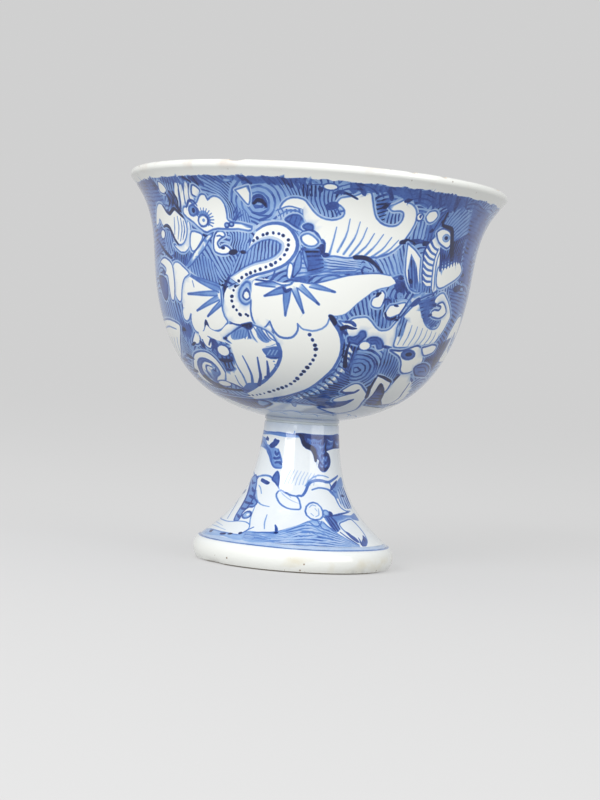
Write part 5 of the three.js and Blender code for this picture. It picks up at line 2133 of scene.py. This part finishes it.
# %% [markdown]
# The glaze is clear and glossy, and the cobalt lies under it. The brush carried more or less colour as it
# went, so the blue is uneven, and it ran a little with the glaze. This group turns the painted share of
# cobalt into a colour, from the faintly green white of the body through pale blue to a blue that is nearly
# black.

# %% Cobalt under the glaze
CLAY_WHITE = (0.83, 0.845, 0.81, 1)
COBALT_STEPS = [
    (0.0, CLAY_WHITE),
    (0.2, (0.25, 0.40, 0.67, 1)),
    (0.4, (0.105, 0.22, 0.53, 1)),
    (0.62, (0.045, 0.11, 0.38, 1)),
    (0.82, (0.022, 0.05, 0.23, 1)),
    (1.0, (0.008, 0.013, 0.06, 1)),
]
LEAST_BLUE = 0.62
POOLED_SCALE, POOLED = 260, 0.75
GRAIN_SCALE, GRAIN = 2400, 0.3


def cobalt_group():
    outputs = {"Colour": "NodeSocketColor"}
    group, nodes, given, result = new_group("cobalt under glaze", {"Cobalt": 0.0}, outputs)
    pooled = sum_node(nodes, "MULTIPLY_ADD", noise_node(nodes, POOLED_SCALE, 3), POOLED, LEAST_BLUE)
    pooled = sum_node(nodes, "SUBTRACT", pooled, GRAIN / 2)
    uneven = sum_node(nodes, "MULTIPLY_ADD", noise_node(nodes, GRAIN_SCALE, 1), GRAIN, pooled)
    ramp = nodes.new("ShaderNodeValToRGB")
    steps = ramp.color_ramp.elements
    while len(steps) < len(COBALT_STEPS):
        steps.new(0.5)
    for step, (place, colour) in zip(steps, COBALT_STEPS):
        step.position = place
        step.color = colour
    strength = sum_node(nodes, "MULTIPLY", given["Cobalt"], uneven)
    fill_all(result, {"Colour": fill_all(ramp, {"Fac": strength})["Color"]})
    return group


cobalt = cobalt_group()
print("colours from white to blue", len(COBALT_STEPS))

# %% [markdown]
# The fine lines are drawn where a patch's count is a whole number. They are a little shaky and uneven, as
# drawn lines are: one noise shifts them, one makes them thick or thin, and one loads them with more or less
# colour.

# %% Fine brushed lines
SHAKE_SCALE, SHAKE = 420, 0.5
SWAY_SCALE, SWAY = 130, 0.7
THICK_SCALE, THICKER, THINNEST = 240, 0.3, 0.08
LOAD_SCALE, FULLER, LIGHTEST = 330, 1.1, 0.45
LINE_SOFTNESS = 0.1


def line_group():
    inputs = {"Count": 0.0, "Tone": 0.0}
    group, nodes, given, result = new_group("fine brushed lines", inputs, {"Cobalt": "NodeSocketFloat"})
    shake = sum_node(nodes, "MULTIPLY_ADD", noise_node(nodes, SHAKE_SCALE, 1), SHAKE, given["Count"])
    sway = sum_node(nodes, "MULTIPLY_ADD", noise_node(nodes, SWAY_SCALE, 0), SWAY, shake)
    count = sum_node(nodes, "SUBTRACT", sway, (SHAKE + SWAY) / 2)
    off = sum_node(nodes, "PINGPONG", count, 0.5)
    half = sum_node(nodes, "MULTIPLY_ADD", noise_node(nodes, THICK_SCALE, 1), THICKER, THINNEST)
    load = sum_node(nodes, "MULTIPLY_ADD", noise_node(nodes, LOAD_SCALE, 1), FULLER, LIGHTEST)
    edge = sum_node(nodes, "DIVIDE", sum_node(nodes, "SUBTRACT", half, off), LINE_SOFTNESS)
    drawn = clamp_node(nodes, sum_node(nodes, "ADD", edge, 0.5))
    inked = sum_node(nodes, "MULTIPLY", load, given["Tone"])
    fill_all(result, {"Cobalt": sum_node(nodes, "MULTIPLY", drawn, inked)})
    return group


fine_lines = line_group()
print("fine lines are built from", len(fine_lines.nodes), "nodes")

# %% [markdown]
# Molten glaze runs down and gathers low on the cup, and it is slightly blue where it is thick. This group
# gives a faint share of cobalt over the stem and the foot of the bowl, and more in the corner under the
# bowl. The tint is partly pooled glaze and partly painted shade, because the stem and that corner lie in
# the shade of the bowl.

# %% Pooled glaze and painted shade under the bowl
# Painted shade: the low band tints the stem and the foot of the bowl, and the corner band darkens the recess
# under the bowl most.
LOW_POOL_AND_SHADE_BAND = (0.005, 0.036, 0.002, 0.008)
SHADED_CORNER_BAND = (0.028, 0.0335, 0.0015, 0.0025)
SHADED_CORNER_DEPTH = 1.2


def pool_and_shade_group():
    group, nodes, given, result = new_group("pooled glaze and painted shade", {"Strength": 0.04}, {"Cobalt": "NodeSocketFloat"})
    body = height_band(nodes, *LOW_POOL_AND_SHADE_BAND)
    corner = height_band(nodes, *SHADED_CORNER_BAND)
    pooling_and_shade = sum_node(nodes, "MULTIPLY_ADD", corner, SHADED_CORNER_DEPTH, body)
    fill_all(result, {"Cobalt": sum_node(nodes, "MULTIPLY", pooling_and_shade, given["Strength"])})
    return group


pooled_glaze_and_shade = pool_and_shade_group()
print("pooled glaze and painted shade is built from", len(pooled_glaze_and_shade.nodes), "nodes")

# %% [markdown]
# A few small brown specks sit along the lip and the foot's edge, where kiln ash stuck, and there the thin
# glaze took a yellowish stain. This group finds both anywhere. Each material keeps them to its own band of
# heights.

# %% Kiln specks
PATCH_SCALE, PATCH_FROM = 170, 0.58
SPECK_SHARPNESS = 12.0
CLOUD_SCALE, CLOUD_CONTRAST, CLOUD_FROM = 150, 4.5, -2.5


def speck_group():
    outputs = {"Specks": "NodeSocketFloat", "Stain": "NodeSocketFloat"}
    inputs = {"Scale": 620.0, "Share": 0.17}
    group, nodes, given, result = new_group("kiln specks", inputs, outputs)
    spots = nodes.new("ShaderNodeTexVoronoi")
    spots.feature = "F1"
    far = fill_all(spots, {"Vector": place_node(nodes), "Scale": given["Scale"]})["Distance"]
    size = sum_node(nodes, "SUBTRACT", given["Share"], far)
    patchy = sum_node(nodes, "GREATER_THAN", noise_node(nodes, PATCH_SCALE, 1), PATCH_FROM)
    mask = sum_node(nodes, "MULTIPLY", sum_node(nodes, "MULTIPLY", size, SPECK_SHARPNESS), patchy)
    cloud = sum_node(nodes, "MULTIPLY_ADD", noise_node(nodes, CLOUD_SCALE, 4), CLOUD_CONTRAST, CLOUD_FROM)
    fill_all(result, {"Specks": clamp_node(nodes, mask), "Stain": clamp_node(nodes, cloud)})
    return group


specks = speck_group()
print("kiln specks are built from", len(specks.nodes), "nodes")

# %% [markdown]
# Both painted pieces share one recipe. The clay body is a soft white, the glaze over it is a clear coat
# with a very fine orange-peel surface, and the blue comes from the cobalt that was painted on each wall,
# with a faint blue of pooled glaze and painted shade low on the cup.

# %% Glazed porcelain
SPECK_BROWN = (0.20, 0.12, 0.06, 1)
LIP_STAIN = (0.55, 0.36, 0.25, 1)
FOOT_STAIN = (0.62, 0.52, 0.28, 1)
STAIN_STRENGTH = 0.55
LIP_BAND = (0.0795, 0.0815, 0.0006, 0.0006)
FOOT_BAND = (0.0002, 0.0032, 0.0006, 0.0006)
BUMP_DEPTH = 0.0002
PEEL_SCALE, PEEL = 420, 0.18


def new_material(name):
    material = bpy.data.materials.new(name)
    material.use_nodes = True
    nodes = material.node_tree.nodes
    return material, nodes, nodes["Principled BSDF"]


def attribute_node(nodes, name):
    node = nodes.new("ShaderNodeAttribute")
    node.attribute_name = name
    return node.outputs["Fac"]


def group_node(nodes, group, values):
    node = nodes.new("ShaderNodeGroup")
    node.node_tree = group
    return fill_all(node, values)


def bump_node(nodes, height, strength):
    values = {"Height": height, "Strength": strength, "Distance": BUMP_DEPTH}
    return add_node(nodes, "ShaderNodeBump", values)["Normal"]


def mix_colours(nodes, share, first, second):
    node = nodes.new("ShaderNodeMix")
    node.data_type = "RGBA"
    fill(node.inputs["Factor"], share)
    colours = [socket for socket in node.inputs if socket.type == "RGBA"]
    fill(colours[0], first)
    fill(colours[1], second)
    return [socket for socket in node.outputs if socket.type == "RGBA"][0]


def porcelain(name, kiln_band, stain):
    """White clay, cobalt from the painted attributes, specks and stains in one band, and a clear glaze."""
    material, nodes, shader = new_material(name)
    counted = {"Count": attribute_node(nodes, "line_count"), "Tone": attribute_node(nodes, "line_tone")}
    drawn = group_node(nodes, fine_lines, counted)["Cobalt"]
    brushed = sum_node(nodes, "MAXIMUM", attribute_node(nodes, "cobalt"), drawn)
    # The pooled glaze group also adds painted shade low on the cup and under the bowl.
    share = sum_node(nodes, "MAXIMUM", brushed, group_node(nodes, pooled_glaze_and_shade, {})["Cobalt"])
    blue = group_node(nodes, cobalt, {"Cobalt": share})["Colour"]
    kiln = group_node(nodes, specks, {})
    band = height_band(nodes, *kiln_band)
    cloudy = sum_node(nodes, "MULTIPLY", sum_node(nodes, "MULTIPLY", kiln["Stain"], band), STAIN_STRENGTH)
    stained = mix_colours(nodes, cloudy, blue, stain)
    spotted = sum_node(nodes, "MULTIPLY", kiln["Specks"], band)
    look = {
        "Base Color": mix_colours(nodes, spotted, stained, SPECK_BROWN),
        "Roughness": 0.4,
        "Specular IOR Level": 0.1,
        "Coat Weight": 1.0,
        "Coat Roughness": 0.05,
        "Coat IOR": 1.5,
        "Coat Normal": bump_node(nodes, noise_node(nodes, PEEL_SCALE, 1), PEEL),
    }
    fill_all(shader, look)
    return material


bowl_glaze = porcelain("painted porcelain of the bowl", LIP_BAND, LIP_STAIN)
stem_glaze = porcelain("painted porcelain of the stem", FOOT_BAND, FOOT_STAIN)
print("kiln marks on the lip above", 1000 * LIP_BAND[0], "mm")
print("kiln marks on the foot below", 1000 * FOOT_BAND[1], "mm")

# %% [markdown]
# Where the glaze is gone the clay is matt and a little buff, darker where dirt has settled in its pores.

# %% Bare clay
CLAY_DARK = (0.50, 0.41, 0.31, 1)
CLAY_BUFF = (0.80, 0.74, 0.64, 1)
PORE_SCALE, PORE_DEPTH = 1500, 0.4

biscuit, nodes, shader = new_material("bare biscuit clay")
pores = noise_node(nodes, PORE_SCALE, 3)
clay = mix_colours(nodes, pores, CLAY_DARK, CLAY_BUFF)
fill_all(shader, {"Base Color": clay, "Roughness": 0.8, "Normal": bump_node(nodes, pores, PORE_DEPTH)})
for piece, glaze in ((bowl_piece, bowl_glaze), (stem_piece, stem_glaze)):
    piece.data.materials.append(glaze)
    piece.data.materials.append(biscuit)
    broken = sum(1 for face in piece.data.polygons if face.material_index == 1)
    print(piece.name, "has", broken, "faces of bare clay")

# %% [markdown]
# The slip is the same clay, glazed over with the rest but thinner, so its glaze is duller. Its colour is
# darker and bluer than the clay's, which is painted shade of the recess under the bowl.

# %% The slip ring, with painted shade
SLIP_SCALE = 700
# Both colours of the slip are darkened as painted shade.
SLIP_DARK_AND_SHADED = (0.52, 0.59, 0.63, 1)
SLIP_PALE_AND_SHADED = (0.66, 0.71, 0.72, 1)

slip, nodes, shader = new_material("luting slip in painted shade")
dull_and_shaded = mix_colours(nodes, noise_node(nodes, SLIP_SCALE, 2), SLIP_DARK_AND_SHADED, SLIP_PALE_AND_SHADED)
fill_all(shader, {"Base Color": dull_and_shaded, "Roughness": 0.35, "Coat Weight": 0.6, "Coat Roughness": 0.1})
lute_piece.data.materials.append(slip)
print("materials", [material.name for material in (bowl_glaze, stem_glaze, biscuit, slip)])

# %% [markdown]
# Each visible piece takes the place of one solid of the frame, and keeps to its box.

# %% Hand the pieces to the frame
for piece, node in ((bowl_piece, "bowl"), (stem_piece, "stem_foot"), (lute_piece, "luting_ring")):
    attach(piece, "root")
    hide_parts(node)
    print(piece.name, "takes the place of", node)

# %% [markdown]
# The stage is a pale matt floor in a pale room. To the camera, and in glossy and clear things, floor and
# room are the same pale grey where they meet, so that no horizon shows. The cup is lit only by the room and
# the two lamps. A tall soft lamp at the left stands for a window, and gives the upright highlight on the
# stem. A weak one fills the right side.

# %% Floor and room
FLOOR_SIZE = 60
ROOM_LIGHT = 0.86
ROOM_GREY = 0.88
FLOOR_GREY = 0.26
FLOOR_GLOW = 0.435
FAR_GREY = FLOOR_GREY * ROOM_LIGHT * ROOM_GREY + FLOOR_GLOW


def seen_share(nodes):
    """One for rays that come from the camera, a gloss or a clear piece, and nought for light on the cup."""
    path = nodes.new("ShaderNodeLightPath").outputs
    clear = sum_node(nodes, "MAXIMUM", path["Is Glossy Ray"], path["Is Transmission Ray"])
    return sum_node(nodes, "MAXIMUM", path["Is Camera Ray"], clear)


bpy.ops.mesh.primitive_plane_add(size=FLOOR_SIZE, location=(0, 0, 0))
floor = bpy.context.object
floor.name = "floor"
pale, nodes, shader = new_material("pale floor")
matt = add_node(nodes, "ShaderNodeBsdfDiffuse", {"Color": (FLOOR_GREY, FLOOR_GREY, FLOOR_GREY, 1)})["BSDF"]
glow = sum_node(nodes, "MULTIPLY", seen_share(nodes), FLOOR_GLOW)
lit = add_node(nodes, "ShaderNodeEmission", {"Strength": glow})["Emission"]
both = add_node(nodes, "ShaderNodeAddShader", {0: matt, 1: lit})["Shader"]
fill(nodes["Material Output"].inputs["Surface"], both)
floor.data.materials.append(pale)

world = bpy.data.worlds.new("studio")
world.use_nodes = True
nodes = world.node_tree.nodes
room = fill_all(nodes["Background"], {"Color": (ROOM_GREY, ROOM_GREY, ROOM_GREY, 1), "Strength": ROOM_LIGHT})
seen = add_node(nodes, "ShaderNodeBackground", {"Color": (FAR_GREY, FAR_GREY, FAR_GREY, 1)})
choice = {0: seen_share(nodes), 1: room["Background"], 2: seen["Background"]}
fill(nodes["World Output"].inputs["Surface"], add_node(nodes, "ShaderNodeMixShader", choice)["Shader"])
bpy.context.scene.world = world
print("far floor and room are both", round(FAR_GREY, 3))

# %% [markdown]
# Both lamps are soft rectangles that are turned towards the middle of the cup. The picture is shown
# plainly, without a film curve, so that the white of the clay stays white.

# %% Lamps
def lamp(name, place, size, power):
    data = bpy.data.lights.new(name, "AREA")
    data.shape = "RECTANGLE"
    data.size, data.size_y = size
    data.energy = power
    light = bpy.data.objects.new(name, data)
    light.location = place
    light.rotation_euler = (Vector((0, 0, 0.05)) - Vector(place)).to_track_quat("-Z", "Y").to_euler()
    bpy.context.scene.collection.objects.link(light)
    print(name, "lamp at", place, "with", power, "watts")


lamp("window", (-0.30, -0.50, 0.30), (0.35, 0.4), 2.9)
lamp("fill", (0.5, -0.4, 0.2), (0.5, 0.36), 1.4)
bpy.context.scene.view_settings.view_transform = "Standard"
